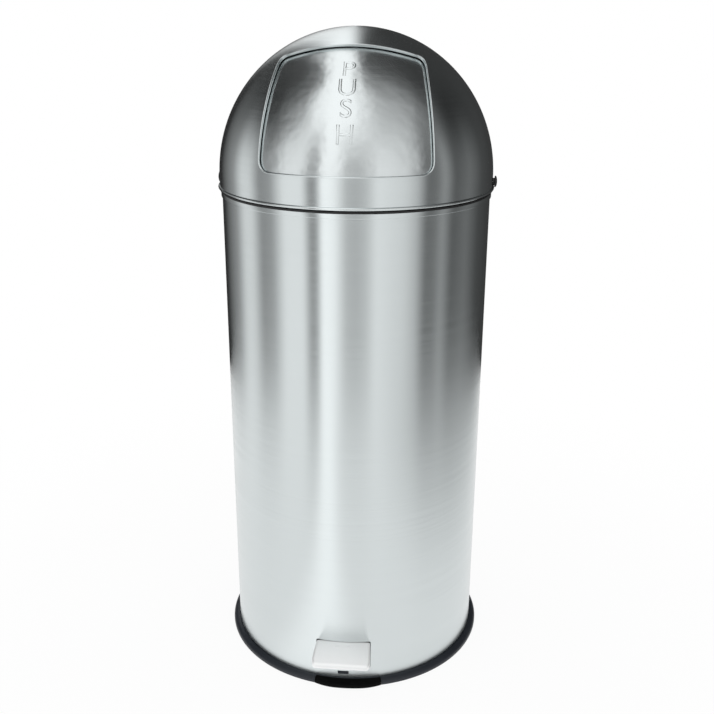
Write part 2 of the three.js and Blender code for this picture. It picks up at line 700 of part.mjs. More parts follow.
const bodyRivetZ = bodyTop - hingeRivetDrop;
const lidRivetZ = skirtTop + hingeRivetRise;
const knuckleEnd = hingeHalfWidth - hingeEndMargin;
const knuckleSplit = knuckleHalf + knuckleGap;
const fixedKnuckles = [[-knuckleEnd, -knuckleSplit], [knuckleSplit, knuckleEnd]];
const movingKnuckles = [[-knuckleHalf, knuckleHalf]];

const knuckle = ([x0, x1]) => bar(axisX, hingeKnuckleRadius, x0, x1, [0, hingeY, hingeZ]);
const hingeBore = () => bar(axisX, hingePinRadius + boreGap, -2 * hingeHalfWidth, 2 * hingeHalfWidth,
  [0, hingeY, hingeZ]);

function hingeLeaf(padOutline, armOutline, knuckles, clearOf, rivetZ) {
  let leaf = sidePrism(padOutline, -hingeHalfWidth, hingeHalfWidth);
  for (const span of knuckles) {
    leaf = joined(leaf, sidePrism(armOutline, ...span), knuckle(span));
  }
  leaf = leaf.subtract(clearOf).subtract(hingeBore());
  mirrored((side, sign) => {
    const at = [sign * hingeRivetOffset, 0, rivetZ];
    leaf = leaf.subtract(rivetHole(axisY, at, bodyRadius / 2, hingeY + 20));
  });
  return leaf;
}

function hingeFixedLeaf() {
  const face = bodyRadius + hingeSheet;
  const band = bodyTop - rimBandHeight;
  const pad = [[bodyRadius - 6, bodyRivetZ - 16], [face, bodyRivetZ - 16], [face, band - 4],
    [face - 1.5, band - 1], [bodyRadius - 6, band - 1]];
  const arm = [[face - 1, bodyRivetZ + 6], [face, bodyRivetZ + 4], [hingeY + 3.6, hingeZ - 3.2],
    [hingeY - 3.6, hingeZ + 3.2], [face - 0.4, band - 2]];
  const clear = turned([[0, shellBottom], [bodyRadius + seatGap, shellBottom],
    [bodyRadius + seatGap, band - 0.6], [bodyRadius + rimBandProud + seatGap, band - 0.6],
    [bodyRadius + ringProud + slideGap, bodyTop], [bodyRadius + ringProud + slideGap, lidBottom],
    [0, lidBottom]]);
  return hingeLeaf(pad, arm, fixedKnuckles, clear, bodyRivetZ);
}

function hingeMovingLeaf() {
  const foot = lidBottom + lidBeadHeight + 1.2;
  const top = lidRivetZ + 12;
  const bead = lidRadius + lidBeadProud;
  const pad = [[lidRadius - 8, foot], [bead + 1, foot], [bead + 1.6, foot + 3], [bead + 1.6, top - 4],
    [bead - 0.4, top], [lidRadius - 8, top]];
  const arm = [[bead + 0.4, foot], [hingeY - 3.8, hingeZ - 1], [hingeY + 4.2, hingeZ + 2],
    [bead + 1.6, foot + 15], [bead, foot + 15]];
  const clear = domeFilled(seatGap, foot - 2);
  return hingeLeaf(pad, arm, movingKnuckles, clear, lidRivetZ);
}

function hingePin() {
  const end = knuckleEnd + slideGap;
  const head = hingePinRadius + 1.6;
  return turnedAbout(axisX, [0, hingeY, hingeZ], [
    [0, -end - 1.6], [head - 0.6, -end - 1.6], [head, -end - 1], [head, -end],
    [hingePinRadius, -end], [hingePinRadius, end], [head, end], [head, end + 1],
    [head - 0.6, end + 1.6], [0, end + 1.6],
  ]);
}

// The lug hangs from the lid's rear wall through the ring's notch; the rod lifts its nose.
function liftLug() {
  const foot = skirtTop - lugPadDrop;
  const top = lidRivetZ + lugPadRise;
  const pad = ringSector(domeInner - lugPadSheet, domeInner, foot, top, 180,
    halfAngleOf(2 * hingeHalfWidth - 6, lidRadius));
  const neckFront = noseY - lugNoseRadius + 1;
  const neckBack = noseY + lugNoseRadius - 1;
  const neck = sidePrism([[neckFront, noseZ], [neckBack, noseZ], [neckBack, foot],
    [domeInner - 2, foot + 4], [domeInner - 2, top - 1], [neckBack, top - 1], [neckFront, top - 9]],
  -lugHalfWidth, lugHalfWidth);
  const nose = bar(axisX, lugNoseRadius, -lugHalfWidth, lugHalfWidth, [0, noseY, noseZ], 24);
  const room = domeFilled(-lidSheet - seatGap, noseZ - 2 * lugNoseRadius);
  let lug = joined(pad, neck, nose).intersect(room);
  mirrored((side, sign) => {
    const at = [sign * hingeRivetOffset, 0, lidRivetZ];
    lug = lug.subtract(rivetHole(axisY, at, bodyRadius / 2, hingeY + 20));
  });
  return lug;
}

// ---------------------------------------------------------------- rod, lever and pedal

function pushRod() {
  return bar(axisZ, rodRadius, rodBottom + 4, rodTop - 4, [0, rodY, 0], 12);
}

function rodCap(end, direction) {
  const bore = rodRadius + seatGap;
  const inner = end + direction * (4 - seatGap);
  const open = end + direction * rodCapLength;
  return turnedAbout(axisZ, [0, rodY, 0], [[0, end], [rodCapRadius, end], [rodCapRadius, open],
    [bore, open], [bore, inner], [0, inner]], 16);
}

function rodGuide(z0) {
  const wall = innerRadius - 0.8;
  const half = guideHalfWidth;
  const face = rodY - guideDepth;
  const guide = planPrism([[-half, face], [half, face], [half, wall - 0.3], [half - 5, wall],
    [5 - half, wall], [-half, wall - 0.3]], z0, z0 + guideLength);
  return guide.subtract(bar(axisZ, rodRadius + slideGap, z0 - 1, z0 + guideLength + 1, [0, rodY, 0], 12));
}

const leverBore = () => bar(axisX, leverPinRadius + boreGap, -bracketFoot, bracketFoot,
  [0, 0, leverAxisHeight]);

function pedalLever() {
  const inside = leverHalfWidth - leverSheet;
  const section = [[-leverHalfWidth, leverTop - leverDepth], [-inside, leverTop - leverDepth],
    [-inside, leverTop - leverSheet], [inside, leverTop - leverSheet], [inside, leverTop - leverDepth],
    [leverHalfWidth, leverTop - leverDepth], [leverHalfWidth, leverTop], [-leverHalfWidth, leverTop]];
  const channel = frontPrism(section, -leverFrontReach, leverRearReach);
  let lever = channel.subtract(leverBore());
  for (const [x, y] of pedalRivetPlaces()) {
    lever = lever.subtract(rivetHole(axisZ, [x, y, 0], leverTop - 10, leverTop + 10));
  }
  return lever;
}

const pedalRivetPlaces = () => [-1, 1].map((side) =>
  [side * pedalRivetX, -bodyRadius - pedalRivetOut]);

// The tread is pressed from one sheet: level at the root, falling to a lip, sides turned down.
function pedalPlate() {
  const rootY = -bodyRadius + 3;
  const frontY = -bodyRadius - pedalReach;
  const under = leverTop + seatGap;
  const tread = (drop) => {
    const shape = new THREE.Shape();
    shape.moveTo(rootY, pedalRootZ - drop);
    shape.quadraticCurveTo(rootY - pedalFlat, pedalRootZ - drop, frontY + pedalNose + drop * 0.3,
      pedalRootZ - pedalFall + pedalNoseRise - drop);
    shape.quadraticCurveTo(frontY + drop, pedalRootZ - pedalFall - drop * 0.5, frontY + drop,
      pedalRootZ - pedalFall - pedalLip);
    return shape;
  };
  const top = tread(0).getPoints(6).map((p) => [p.x, p.y]);
  const bottom = tread(pedalSheet).getPoints(6).map((p) => [p.x, p.y]).reverse();
  const skin = sidePrism([...top, ...bottom].reverse(), -pedalFrontWidth, pedalFrontWidth);
  const half = [pedalRootWidth / 2, pedalFrontWidth / 2];
  const cornerY = frontY + pedalCornerDepth;
  const plan = (inset) => planPrism([[-half[0] + inset, rootY + 1], [half[0] - inset, rootY + 1],
    [half[1] - inset, cornerY], [half[1] - pedalCornerWidth - inset, frontY - 1],
    [-half[1] + pedalCornerWidth + inset, frontY - 1], [-half[1] + inset, cornerY]].reverse(),
  0, 2 * pedalRootZ);
  const floor = pedalRootZ - pedalFall - pedalLip;
  const sideOutline = [...top, [frontY, floor], [rootY, pedalRootZ - pedalEdge - 3]];
  const sides = sidePrism(sideOutline.reverse(), -pedalFrontWidth, pedalFrontWidth)
    .intersect(plan(0).subtract(plan(pedalSheet)));
  const pad = block([-leverHalfWidth + 1, leverHalfWidth - 1], [-bodyRadius - pedalRivetOut - 6, rootY],
    [under, pedalRootZ - 1]);
  const shape = joined(skin.intersect(plan(0)), sides.intersect(notRear(rootY)), pad);
  return pedalRivetPlaces().reduce((sum, [x, y]) =>
    sum.subtract(rivetHole(axisZ, [x, y, 0], under - 5, pedalRootZ + 5)), shape);
}

const notRear = (rootY) => block([-pedalFrontWidth, pedalFrontWidth],
  [rootY - 2 * pedalReach, rootY - pedalSheet], [0, 2 * pedalRootZ]);

function pedalRivet([x, y]) {
  const near = leverTop - leverSheet - seatGap;
  return rivet(axisZ, [x, y, 0], near, pedalRootZ + seatGap - 0.2, 3.4);
}

function screwPlaces() {
  return [-1, 1].flatMap((sx) => [-1, 1].map((sy) => [sx * screwOffsetX, sy * screwOffsetY]));
}

function leverBracket() {
  const foot = bossHeight + seatGap;
  const cheek = leverHalfWidth + 0.6;
  const section = [[-bracketFoot, foot], [bracketFoot, foot], [bracketFoot, foot + bracketSheet],
    [cheek + bracketSheet, foot + bracketSheet], [cheek + bracketSheet, leverAxisHeight + bracketEye + 2],
    [cheek, leverAxisHeight + bracketEye + 2], [cheek, foot + bracketSheet], [-cheek, foot + bracketSheet],
    [-cheek, leverAxisHeight + bracketEye + 2], [-cheek - bracketSheet, leverAxisHeight + bracketEye + 2],
    [-cheek - bracketSheet, foot + bracketSheet], [-bracketFoot, foot + bracketSheet]];
  const eye = bracketEye;
  const cheekSide = new THREE.Shape();
  cheekSide.moveTo(-bracketHalfLength, foot - 1);
  cheekSide.lineTo(bracketHalfLength, foot - 1);
  cheekSide.lineTo(bracketHalfLength, foot + 5);
  cheekSide.lineTo(eye, leverAxisHeight);
  cheekSide.absarc(0, leverAxisHeight, eye, 0, Math.PI, false);
  cheekSide.lineTo(-bracketHalfLength, foot + 5);
  let bracket = frontPrism(section, -bracketHalfLength, bracketHalfLength)
    .intersect(sidePrism(cheekSide, -bracketFoot - 1, bracketFoot + 1));
  bracket = bracket.subtract(leverBore());
  for (const [x, y] of screwPlaces()) {
    bracket = bracket.subtract(bar(axisZ, screwRadius + boreGap, 0, 20, [x, y, 0]));
  }
  return bracket;
}

const cheekOuter = leverHalfWidth + 0.6 + bracketSheet;

function leverPin() {
  const head = cheekOuter + seatGap;
  return turnedAbout(axisX, [0, 0, leverAxisHeight], [[0, -head - 2], [6, -head - 2], [6.5, -head - 1.4],
    [6.5, -head], [leverPinRadius, -head], [leverPinRadius, head + 2.6], [leverPinRadius - 0.8, head + 3.4],
    [0, head + 3.4]], 14);
}

function leverPinClip() {
  const inner = cheekOuter + seatGap;
  return sleeve(axisX, leverPinRadius + seatGap, 6.5, inner, inner + 1.2, [0, 0, leverAxisHeight], 14);
}

function bracketScrew([x, y]) {
  const seat = bossHeight + 2 * seatGap + bracketSheet;
  return turnedAbout(axisZ, [x, y, 0], [[0, 4], [screwRadius, 4], [screwRadius, seat],
    [screwHeadRadius, seat], [screwHeadRadius, seat + 1.2], [screwHeadRadius * 0.6, seat + 2.4],
    [0, seat + 2.4]]);
}

// ---------------------------------------------------------------- assembly

part('bin', 'base_pan', basePan(), darkPlastic);
part('bin', 'toe_pad', toePad(), blackRubber);
part('bin', 'body_shell', bodyShell(), steel);
part('bin', 'rim_ring', rimRing(), blackPlastic);
bufferPlaces().forEach((place, i) => part('bin', `lid_buffer_${i + 1}`, lidBuffer(place), blackRubber));
part('bin', 'lever_bracket', leverBracket(), zinc);
part('bin', 'lever_pin', leverPin(), zinc);
part('bin', 'lever_pin_clip', leverPinClip(), dullSteel);
screwPlaces().forEach((place, i) => part('bin', `bracket_screw_${i + 1}`, bracketScrew(place), zinc));
part('bin', 'rod_guide_lower', rodGuide(guideLow), blackPlastic);
part('bin', 'rod_guide_upper', rodGuide(guideHigh), blackPlastic);
part('bin', 'hinge_fixed_leaf', hingeFixedLeaf(), blackPlastic);
part('bin', 'hinge_pin', hingePin(), dullSteel);

part('bucket', 'inner_bucket', innerBucket(), dullSteel);
mirrored((side, sign) => {
  part('bucket', `bucket_ear_${side}`, bucketEar(sign), dullSteel);
  part('bucket', `ear_rivet_${side}`, earRivet(sign), zinc);
});

part('lid', 'dome_lid', domeLid(), steel);
part('lid', 'hinge_moving_leaf', hingeMovingLeaf(), blackPlastic);
part('lid', 'lift_lug', liftLug(), blackPlastic);
part('flap', 'push_flap', flapShape(), steel);
mirrored((side, sign) => {
  const flip = (shape) => (sign > 0 ? shape : shape.mirror([1, 0, 0]));
  part('lid', `flap_pin_${side}`, flip(flapPin()), zinc);
  part('lid', `flap_spacer_${side}`, flip(flapSpacer()), blackPlastic);
  part('lid', `pivot_cap_${side}`, flip(pivotCap()), blackPlastic);
  part('lid', `flap_stop_${side}`, flapStop(sign), blackRubber);
  const body = [sign * hingeRivetOffset, 0, bodyRivetZ];
  const lid = [sign * hingeRivetOffset, 0, lidRivetZ];
  part('bin', `hinge_rivet_body_${side}`, rivet(axisY, body, innerRadius - 2.2, bodyRadius + 4.3), zinc);
  part('lid', `hinge_rivet_lid_${side}`, rivet(axisY, lid, lidRadius - 7, lidRadius + 4.3), zinc);
});

part('rod', 'push_rod', pushRod(), dullSteel);
part('rod', 'rod_foot', rodCap(rodBottom, 1), blackPlastic);
part('rod', 'rod_tip', rodCap(rodTop, -1), blackPlastic);
part('pedal', 'pedal_lever', pedalLever(), zinc);
part('pedal', 'pedal_plate', pedalPlate(), steel);
pedalRivetPlaces().forEach((place, i) =>
  part('pedal', `pedal_rivet_${['left', 'right'][i]}`, pedalRivet(place), zinc));

part('bail', 'bucket_bail', bucketBail(), dullSteel);
part('bail', 'bail_grip', bailGrip(), blackPlastic);

export default receptacle;
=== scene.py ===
from math import atan2, cos, pi, radians, sin, sqrt

import bmesh
import bpy
from mathutils import Matrix, Vector


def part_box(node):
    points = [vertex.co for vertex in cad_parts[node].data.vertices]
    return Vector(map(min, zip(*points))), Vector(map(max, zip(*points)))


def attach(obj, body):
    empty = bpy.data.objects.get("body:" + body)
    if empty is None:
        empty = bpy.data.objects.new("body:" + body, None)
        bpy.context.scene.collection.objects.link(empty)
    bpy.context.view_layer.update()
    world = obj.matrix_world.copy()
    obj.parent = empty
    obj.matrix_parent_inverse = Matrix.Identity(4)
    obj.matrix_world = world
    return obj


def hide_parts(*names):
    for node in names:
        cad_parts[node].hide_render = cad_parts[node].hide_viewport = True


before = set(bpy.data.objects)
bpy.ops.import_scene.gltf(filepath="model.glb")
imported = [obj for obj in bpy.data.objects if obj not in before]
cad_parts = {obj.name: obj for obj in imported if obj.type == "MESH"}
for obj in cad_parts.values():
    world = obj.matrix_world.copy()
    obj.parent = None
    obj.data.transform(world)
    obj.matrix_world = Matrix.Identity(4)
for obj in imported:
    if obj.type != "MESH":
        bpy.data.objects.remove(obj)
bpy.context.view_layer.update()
scene = bpy.context.scene
mm = 0.001
weld = 1e-6  # closer than this, two vertices are one


def report(stage):
    print("bin scene:", stage)


def lowOf(node):
    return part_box(node)[0]


def highOf(node):
    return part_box(node)[1]


sheetSizes = {
    "shell": 1 * mm, "lid": 1.2 * mm, "bandProud": 1.6 * mm, "beadProud": 2.3 * mm,
    "skirt": 17.7 * mm,  # the lid's straight part, below the dome
}
# the bin's own sizes, as the frame has them
wallRadius = highOf("body_shell").x - sheetSizes["bandProud"]
wallBottom = lowOf("body_shell").z
wallTop = highOf("body_shell").z
lidRadius = highOf("dome_lid").x - sheetSizes["beadProud"]
lidBottom = lowOf("dome_lid").z
lidTop = highOf("dome_lid").z
skirtTop = lidBottom + sheetSizes["skirt"]
domeRise = lidTop - skirtTop
pivotZ = (lowOf("flap_pin_left").z + highOf("flap_pin_left").z) / 2
spare = 20 * mm  # how far cutters reach past what they cut


# a socket that takes plain arithmetic, and one way to add any other node
class Value:
    def __init__(self, maker, socket):
        self.maker = maker
        self.socket = socket

    def math(self, operation, *others, **settings):
        settings["operation"] = operation
        return self.maker.node("ShaderNodeMath", settings, [self, *others])

    def __add__(self, other):
        return self.math("ADD", other)

    def __radd__(self, other):
        return self.math("ADD", other)

    def __sub__(self, other):
        return self.math("SUBTRACT", other)

    def __rsub__(self, other):
        return self.maker.node("ShaderNodeMath", {"operation": "SUBTRACT"}, [other, self])

    def __mul__(self, other):
        return self.math("MULTIPLY", other)

    def __truediv__(self, other):
        return self.math("DIVIDE", other)

    def rise(self, low, high):  # 0 below low, 1 above high, a soft step between
        return self.maker.node("ShaderNodeMapRange", {"interpolation_type": "SMOOTHSTEP"},
                               {"Value": self, "From Min": low, "From Max": high})

    def held(self):
        return self.math("ADD", 0.0, use_clamp=True)


class Shader:
    def __init__(self, owner):
        owner.use_nodes = True
        self.owner = owner
        self.tree = owner.node_tree
        self.tree.nodes.clear()

    def node(self, kind, settings=None, inputs=(), output=0):
        made = self.tree.nodes.new(kind)
        for name, value in (settings or {}).items():
            if name == "stops":
                self.setStops(made.color_ramp, value)
            else:
                setattr(made, name, value)
        pairs = inputs.items() if isinstance(inputs, dict) else enumerate(inputs)
        for key, value in pairs:
            if isinstance(value, Value):
                self.tree.links.new(value.socket, made.inputs[key])
            else:
                made.inputs[key].default_value = value
        return Value(self, made.outputs[output])

    def setStops(self, ramp, stops):
        while len(ramp.elements) < len(stops):
            ramp.elements.new(0.5)
        for element, (place, grey) in zip(ramp.elements, stops):
            element.position = place
            element.color = (*grey, 1) if isinstance(grey, tuple) else (grey, grey, grey, 1)

    def mixed(self, factor, first, second):  # colours only
        sockets = {0: factor, 6: first, 7: second}
        return self.node("ShaderNodeMix", {"data_type": "RGBA"}, sockets, output=2)

    def finish(self, kind, surface):
        out = self.tree.nodes.new(kind)
        self.tree.links.new(surface.socket, out.inputs["Surface"])
        return self.owner


def opaque(red, green, blue):
    return (red, green, blue, 1)


# the photograph's height and angle
cameraSettings = {
    "turn": 5,  # degrees to the right of straight ahead
    "distance": 1.365,
    "height": 0.9407,
    "tilt": 19.82,  # degrees below level
    "lean": -0.25,  # the photograph leans a little
    "lens": 48.03,
    "sensor": 36,
}


def makeCamera():
    turn = radians(cameraSettings["turn"])
    camera = bpy.data.cameras.new("view_camera")
    camera.lens = cameraSettings["lens"]
    camera.sensor_width = cameraSettings["sensor"]
    camera.sensor_height = cameraSettings["sensor"]
    camera.sensor_fit = "HORIZONTAL"
    camera.clip_start = 0.05
    eye = bpy.data.objects.new("view_camera", camera)
    reach = cameraSettings["distance"]
    eye.location = (reach * sin(turn), -reach * cos(turn), cameraSettings["height"])
    tilt, lean = (radians(cameraSettings[name]) for name in ("tilt", "lean"))
    eye.rotation_euler = (pi / 2 - tilt, lean, turn)
    scene.collection.objects.link(eye)
    scene.camera = eye


makeCamera()
report("camera")


# white surround, and the lamps and dark flags that polished metal mirrors
studio = {
    "turn": 5,  # degrees, the photographer's stand
    "fill": 0.92,  # light on everything but metal
    "floorRadius": 1.25,
    "floorGrey": 1.0,
    "beam": 0.28,  # a lamp's soft stripe on the floor, seen only in the metal
    "beamAngle": -22,
    "floorFade": 0.45,  # how far the floor's reflection falls off to the right
    "shadowShare": 0.09,  # how much of the floor's own shading the camera sees
    # degrees round the bin from the camera, and how bright the studio is there
    "ring": [(-180, 0.03), (-150, 0.03), (-121, 0.36), (-108, 0.90), (-98, 0.88), (-86, 0.32),
             (-74, 0.42), (-62, 1.02), (-45, 1.04), (-38, 0.30), (-33, 0.34), (-28, 1.34),
             (-18, 1.20), (-8, 0.60), (0, 0.55), (8, 0.66), (17, 1.02), (40, 0.86), (51, 0.62),
             (60, 0.16), (69, 0.20), (77, 0.38), (88, 0.12), (106, 0.20), (126, 0.08), (148, 0.05),
             (180, 0.04)],
    "brightest": 1.4,  # the ring's numbers are shares of this in the colour ramp
    "overheadOffset": (-0.14, -0.24),  # sideways place of the lamp overhead, behind and in front
    "overheadHalf": (0.13, 0.34),
    "overheadLamp": 1.3,
    "lampStart": 0.28,  # how much higher the overhead lamp starts in front of the bin
    "lampRise": 0.5,  # over what height the ring gives way to the lamp
    "lampEdge": (0.5, 1.7),
    "overheadDark": (0.05, 0.62),
    "overheadSides": (0.55, 0.95, 0.55),  # where the dark beside the lamp deepens, and by how much
    "forward": (-0.2, 0.6),
    "shadowReach": (0.45, 1.1),
    "beamEdge": (0.02, 0.16),
    "beamNear": -0.3,
    "fadeReach": (0.25, 1.1),
}


def studioWorld():
    world = bpy.data.worlds.new("studio")
    scene.world = world
    world.cycles.sampling_method = "NONE"
    shader = Shader(world)
    towards = shader.node("ShaderNodeTexCoord")
    turned = shader.node("ShaderNodeVectorRotate", {"rotation_type": "Z_AXIS"},
                         {"Vector": towards, "Angle": -radians(studio["turn"])})
    parts = shader.node("ShaderNodeSeparateXYZ", None, [turned])
    right = parts
    back = Value(shader, parts.socket.node.outputs[1])
    up = Value(shader, parts.socket.node.outputs[2])
    front = 0 - back
    around = right.math("ARCTAN2", front) / (2 * pi) + 0.5
    stops = [((angle + 180) / 360, grey / studio["brightest"]) for angle, grey in studio["ring"]]
    dimRing = shader.node("ShaderNodeValToRGB", {"stops": stops}, [around])
    whole = (studio["brightest"],) * 3
    ring = shader.node("ShaderNodeVectorMath", {"operation": "MULTIPLY"}, [dimRing, whole])
    forward = front.rise(*studio["forward"])

    def spread(pair):
        return forward * (pair[1] - pair[0]) + pair[0]

    aside = (right - spread(studio["overheadOffset"])).math("ABSOLUTE")
    off = aside / spread(studio["overheadHalf"])
    lamp = 1 - off.rise(*studio["lampEdge"])
    sideFrom, sideTo, sideShare = studio["overheadSides"]
    sides = 1 - right.math("ABSOLUTE").rise(sideFrom, sideTo) * sideShare
    dark = spread(studio["overheadDark"]) * sides
    overhead = lamp * (studio["overheadLamp"] - dark) + dark
    grey = shader.node("ShaderNodeCombineColor", None, [overhead, overhead, overhead])
    lift = up - forward * studio["lampStart"]
    mirrored = shader.mixed(lift.rise(0.0, studio["lampRise"]), ring, grey)
    plain = opaque(studio["fill"], studio["fill"], studio["fill"])
    path = shader.node("ShaderNodeLightPath")
    isCamera = path
    isGlossy = Value(shader, path.socket.node.outputs["Is Glossy Ray"])
    isClear = Value(shader, path.socket.node.outputs["Is Transmission Ray"])
    lit = shader.mixed(isGlossy, plain, mirrored)
    shown = shader.mixed((isCamera + isClear).held(), lit, opaque(1, 1, 1))
    background = shader.node("ShaderNodeBackground", None, {"Color": shown, "Strength": 1.0})
    shader.finish("ShaderNodeOutputWorld", background)


def floorMaterial():
    shader = Shader(bpy.data.materials.new("pale_floor"))
    grey = studio["floorGrey"]
    paint = shader.node("ShaderNodeBsdfDiffuse", None, {"Color": opaque(grey, grey, grey)})
    glow = shader.node("ShaderNodeEmission", None, {"Color": opaque(1, 1, 1), "Strength": 1.0})
    path = shader.node("ShaderNodeLightPath")
    outputs = path.socket.node.outputs
    isGlossy = Value(shader, outputs["Is Glossy Ray"])
    isClear = Value(shader, outputs["Is Transmission Ray"])
    spot = shader.node("ShaderNodeTexCoord", None, (), output=3)
    away = shader.node("ShaderNodeVectorMath", {"operation": "LENGTH"}, [spot], output=1)
    share = (1 - away.rise(*studio["shadowReach"])) * studio["shadowShare"]
    seen = (path + isGlossy + isClear).held() * (1 - share)
    east = shader.node("ShaderNodeSeparateXYZ", None, [spot])
    north = Value(shader, east.socket.node.outputs[1])
    turn = radians(studio["beamAngle"] + studio["turn"])
    beamSide = (east * cos(turn) + north * sin(turn)).math("ABSOLUTE")
    beam = (1 - beamSide.rise(*studio["beamEdge"])) * (1 - north.rise(studio["beamNear"], 0.0))
    fade = east.rise(*studio["fadeReach"]) * studio["floorFade"]
    dimmer = 1 + isGlossy * (beam * studio["beam"] - fade)
    shader.tree.links.new(dimmer.socket, glow.socket.node.inputs["Strength"])
    surface = shader.node("ShaderNodeMixShader", None, [seen, paint, glow])
    return shader.finish("ShaderNodeOutputMaterial", surface)


def makeFloor():
    bm = bmesh.new()
    bmesh.ops.create_circle(bm, cap_ends=True, segments=96, radius=studio["floorRadius"])
    mesh = bpy.data.meshes.new("floor")
    bm.to_mesh(mesh)
    bm.free()
    floor = bpy.data.objects.new("floor", mesh)
    mesh.materials.append(floorMaterial())
    scene.collection.objects.link(floor)


studioWorld()
makeFloor()
scene.view_settings.view_transform = "Standard"
report("studio")


def principled(shader, inputs):
    return shader.node("ShaderNodeBsdfPrincipled", None, inputs)


def noise(shader, place, scale, detail):
    inputs = {"Vector": place, "Scale": scale, "Detail": detail}
    return shader.node("ShaderNodeTexNoise", None, inputs)


def bumped(shader, height, strength, distance, **more):
    inputs = {"Height": height, "Strength": strength, "Distance": distance}
    return shader.node("ShaderNodeBump", None, inputs | more)


def spunSteel(name, colour, roughness, anisotropy, dents=0.0, streak=0.05):
    shader = Shader(bpy.data.materials.new(name))
    place = shader.node("ShaderNodeTexCoord", None, (), output=3)
    parts = shader.node("ShaderNodeSeparateXYZ", None, [place])
    east, north, up = (Value(shader, socket) for socket in parts.socket.node.outputs)
    reach = (east * east + north * north).math("SQRT")
    climb = up - reach * 0.9  # runs up the wall and on over the crown
    grain = shader.node("ShaderNodeCombineXYZ", None, [east * 3, north * 3, climb * 420])
    fine = noise(shader, grain, 1.0, 4.0)
    cloudy = noise(shader, place, 5.0, 2.0)
    worn = (fine - 0.5) * streak * 2 + 0.5
    bright = tuple(min(1, part * 1.05) for part in colour)
    dull = tuple(part * 0.93 for part in colour)
    tint = shader.mixed((worn + (cloudy - 0.5) * 0.3).held(), opaque(*dull), opaque(*bright))
    rough = (fine - 0.5) * 0.12 + (cloudy - 0.5) * 0.05 + roughness
    bump = bumped(shader, fine, 0.02, 0.0002)
    if dents:  # pressed sheet isn't quite true, and shows it in what it mirrors
        wavy = noise(shader, place, 26.0, 2.5)
        bump = bumped(shader, wavy, 1.0, dents, Normal=bump)
    metal = principled(shader, {
        "Base Color": tint, "Metallic": 1.0, "Roughness": rough, "Normal": bump,
        "Anisotropic": anisotropy, "Anisotropic Rotation": 0.25,
    })
    return shader.finish("ShaderNodeOutputMaterial", metal)


def plainMetal(name, colour, roughness, scale=900.0, unevenness=1.0, metallic=1.0):
    shader = Shader(bpy.data.materials.new(name))
    place = shader.node("ShaderNodeTexCoord", None, (), output=3)
    fine = noise(shader, place, scale, 3.0)
    cloudy = noise(shader, place, 60.0, 2.0)
    bright = tuple(min(1, part * (1 + 0.08 * unevenness)) for part in colour)
    dull = tuple(part * (1 - 0.12 * unevenness) for part in colour)
    tint = shader.mixed(cloudy, opaque(*dull), opaque(*bright))
    rough = (fine - 0.5) * (0.2 * unevenness) + roughness
    bump = bumped(shader, fine, 0.05 * unevenness, 0.0002)
    metal = principled(shader, {
        "Base Color": tint, "Metallic": metallic, "Roughness": rough, "Normal": bump})
    return shader.finish("ShaderNodeOutputMaterial", metal)


def mouldedPlastic(name, colour, roughness, shine=0.5, grain=1400.0, lift=0.08):
    shader = Shader(bpy.data.materials.new(name))
    place = shader.node("ShaderNodeTexCoord", None, (), output=3)
    fine = noise(shader, place, grain, 2.0)
    cloudy = noise(shader, place, 25.0, 3.0)
    bright = tuple(part * 1.25 for part in colour)
    dull = tuple(part * 0.8 for part in colour)
    tint = shader.mixed(cloudy, opaque(*dull), opaque(*bright))
    rough = (cloudy - 0.5) * 0.15 + (fine - 0.5) * 0.1 + roughness
    bump = bumped(shader, fine, lift, 0.0003)
    skin = principled(shader, {
        "Base Color": tint, "Roughness": rough, "Normal": bump, "Specular IOR Level": shine})
    return shader.finish("ShaderNodeOutputMaterial", skin)


finishes = {
    "steel": spunSteel("brushed_steel", (0.68, 0.725, 0.73), roughness=0.22, anisotropy=0.9),
    "flap": spunSteel("brushed_steel_flap", (0.70, 0.74, 0.745), roughness=0.24, anisotropy=0.7,
                      dents=1.1 * mm),
    # the tread's near-white colour and low metallic are painted brightness, standing in for the
    # bright reflection on the steel tread
    "pedal": plainMetal("pressed_steel_painted_bright", (0.95, 0.96, 0.96), roughness=0.34, scale=260.0,
                        unevenness=0.25, metallic=0.4),
    "bucket": plainMetal("galvanised_steel", (0.50, 0.52, 0.53), roughness=0.42, scale=300.0),
    "zinc": plainMetal("zinc_plate", (0.62, 0.62, 0.60), roughness=0.35),
    "dark": mouldedPlastic("dark_plastic", (0.017, 0.021, 0.028), roughness=0.45, shine=0.4),
    "black": mouldedPlastic("black_plastic", (0.010, 0.010, 0.011), roughness=0.50),
    "rubber": mouldedPlastic("black_rubber", (0.002, 0.002, 0.002), roughness=0.75, shine=0.1),
}
report("finishes")


def finished(bm, name, sharpAngle=32):
    bmesh.ops.remove_doubles(bm, verts=bm.verts, dist=weld)
    bmesh.ops.recalc_face_normals(bm, faces=bm.faces)
    mesh = bpy.data.meshes.new(name)
    bm.to_mesh(mesh)
    bm.free()
    mesh.shade_smooth()
    mesh.set_sharp_from_angle(angle=radians(sharpAngle))
    return mesh


def wire(bm, points, closed=True):
    verts = [bm.verts.new(point) for point in points]
    pairs = list(zip(verts, verts[1:]))
    if closed:
        pairs.append((verts[-1], verts[0]))
    edges = [bm.edges.new(pair) for pair in pairs]
    return verts, edges


def spun(profile, steps=256, axis=(0, 0, 1), centre=(0, 0, 0), angle=2 * pi):
    bm = bmesh.new()
    line = Vector(axis).normalized()
    ends = [Vector(profile[i]) - Vector(centre) for i in (0, -1)]
    poles = all((end - line * end.dot(line)).length < 1e-7 for end in ends)
    verts, edges = wire(bm, profile, closed=not poles)  # a line that ends on the axis stays open
    bmesh.ops.spin(bm, geom=verts + edges, cent=centre, axis=axis, angle=angle, steps=steps,
                   use_merge=abs(angle - 2 * pi) < 1e-6, use_duplicate=False)
    bmesh.ops.remove_doubles(bm, verts=bm.verts, dist=weld)
    return bm


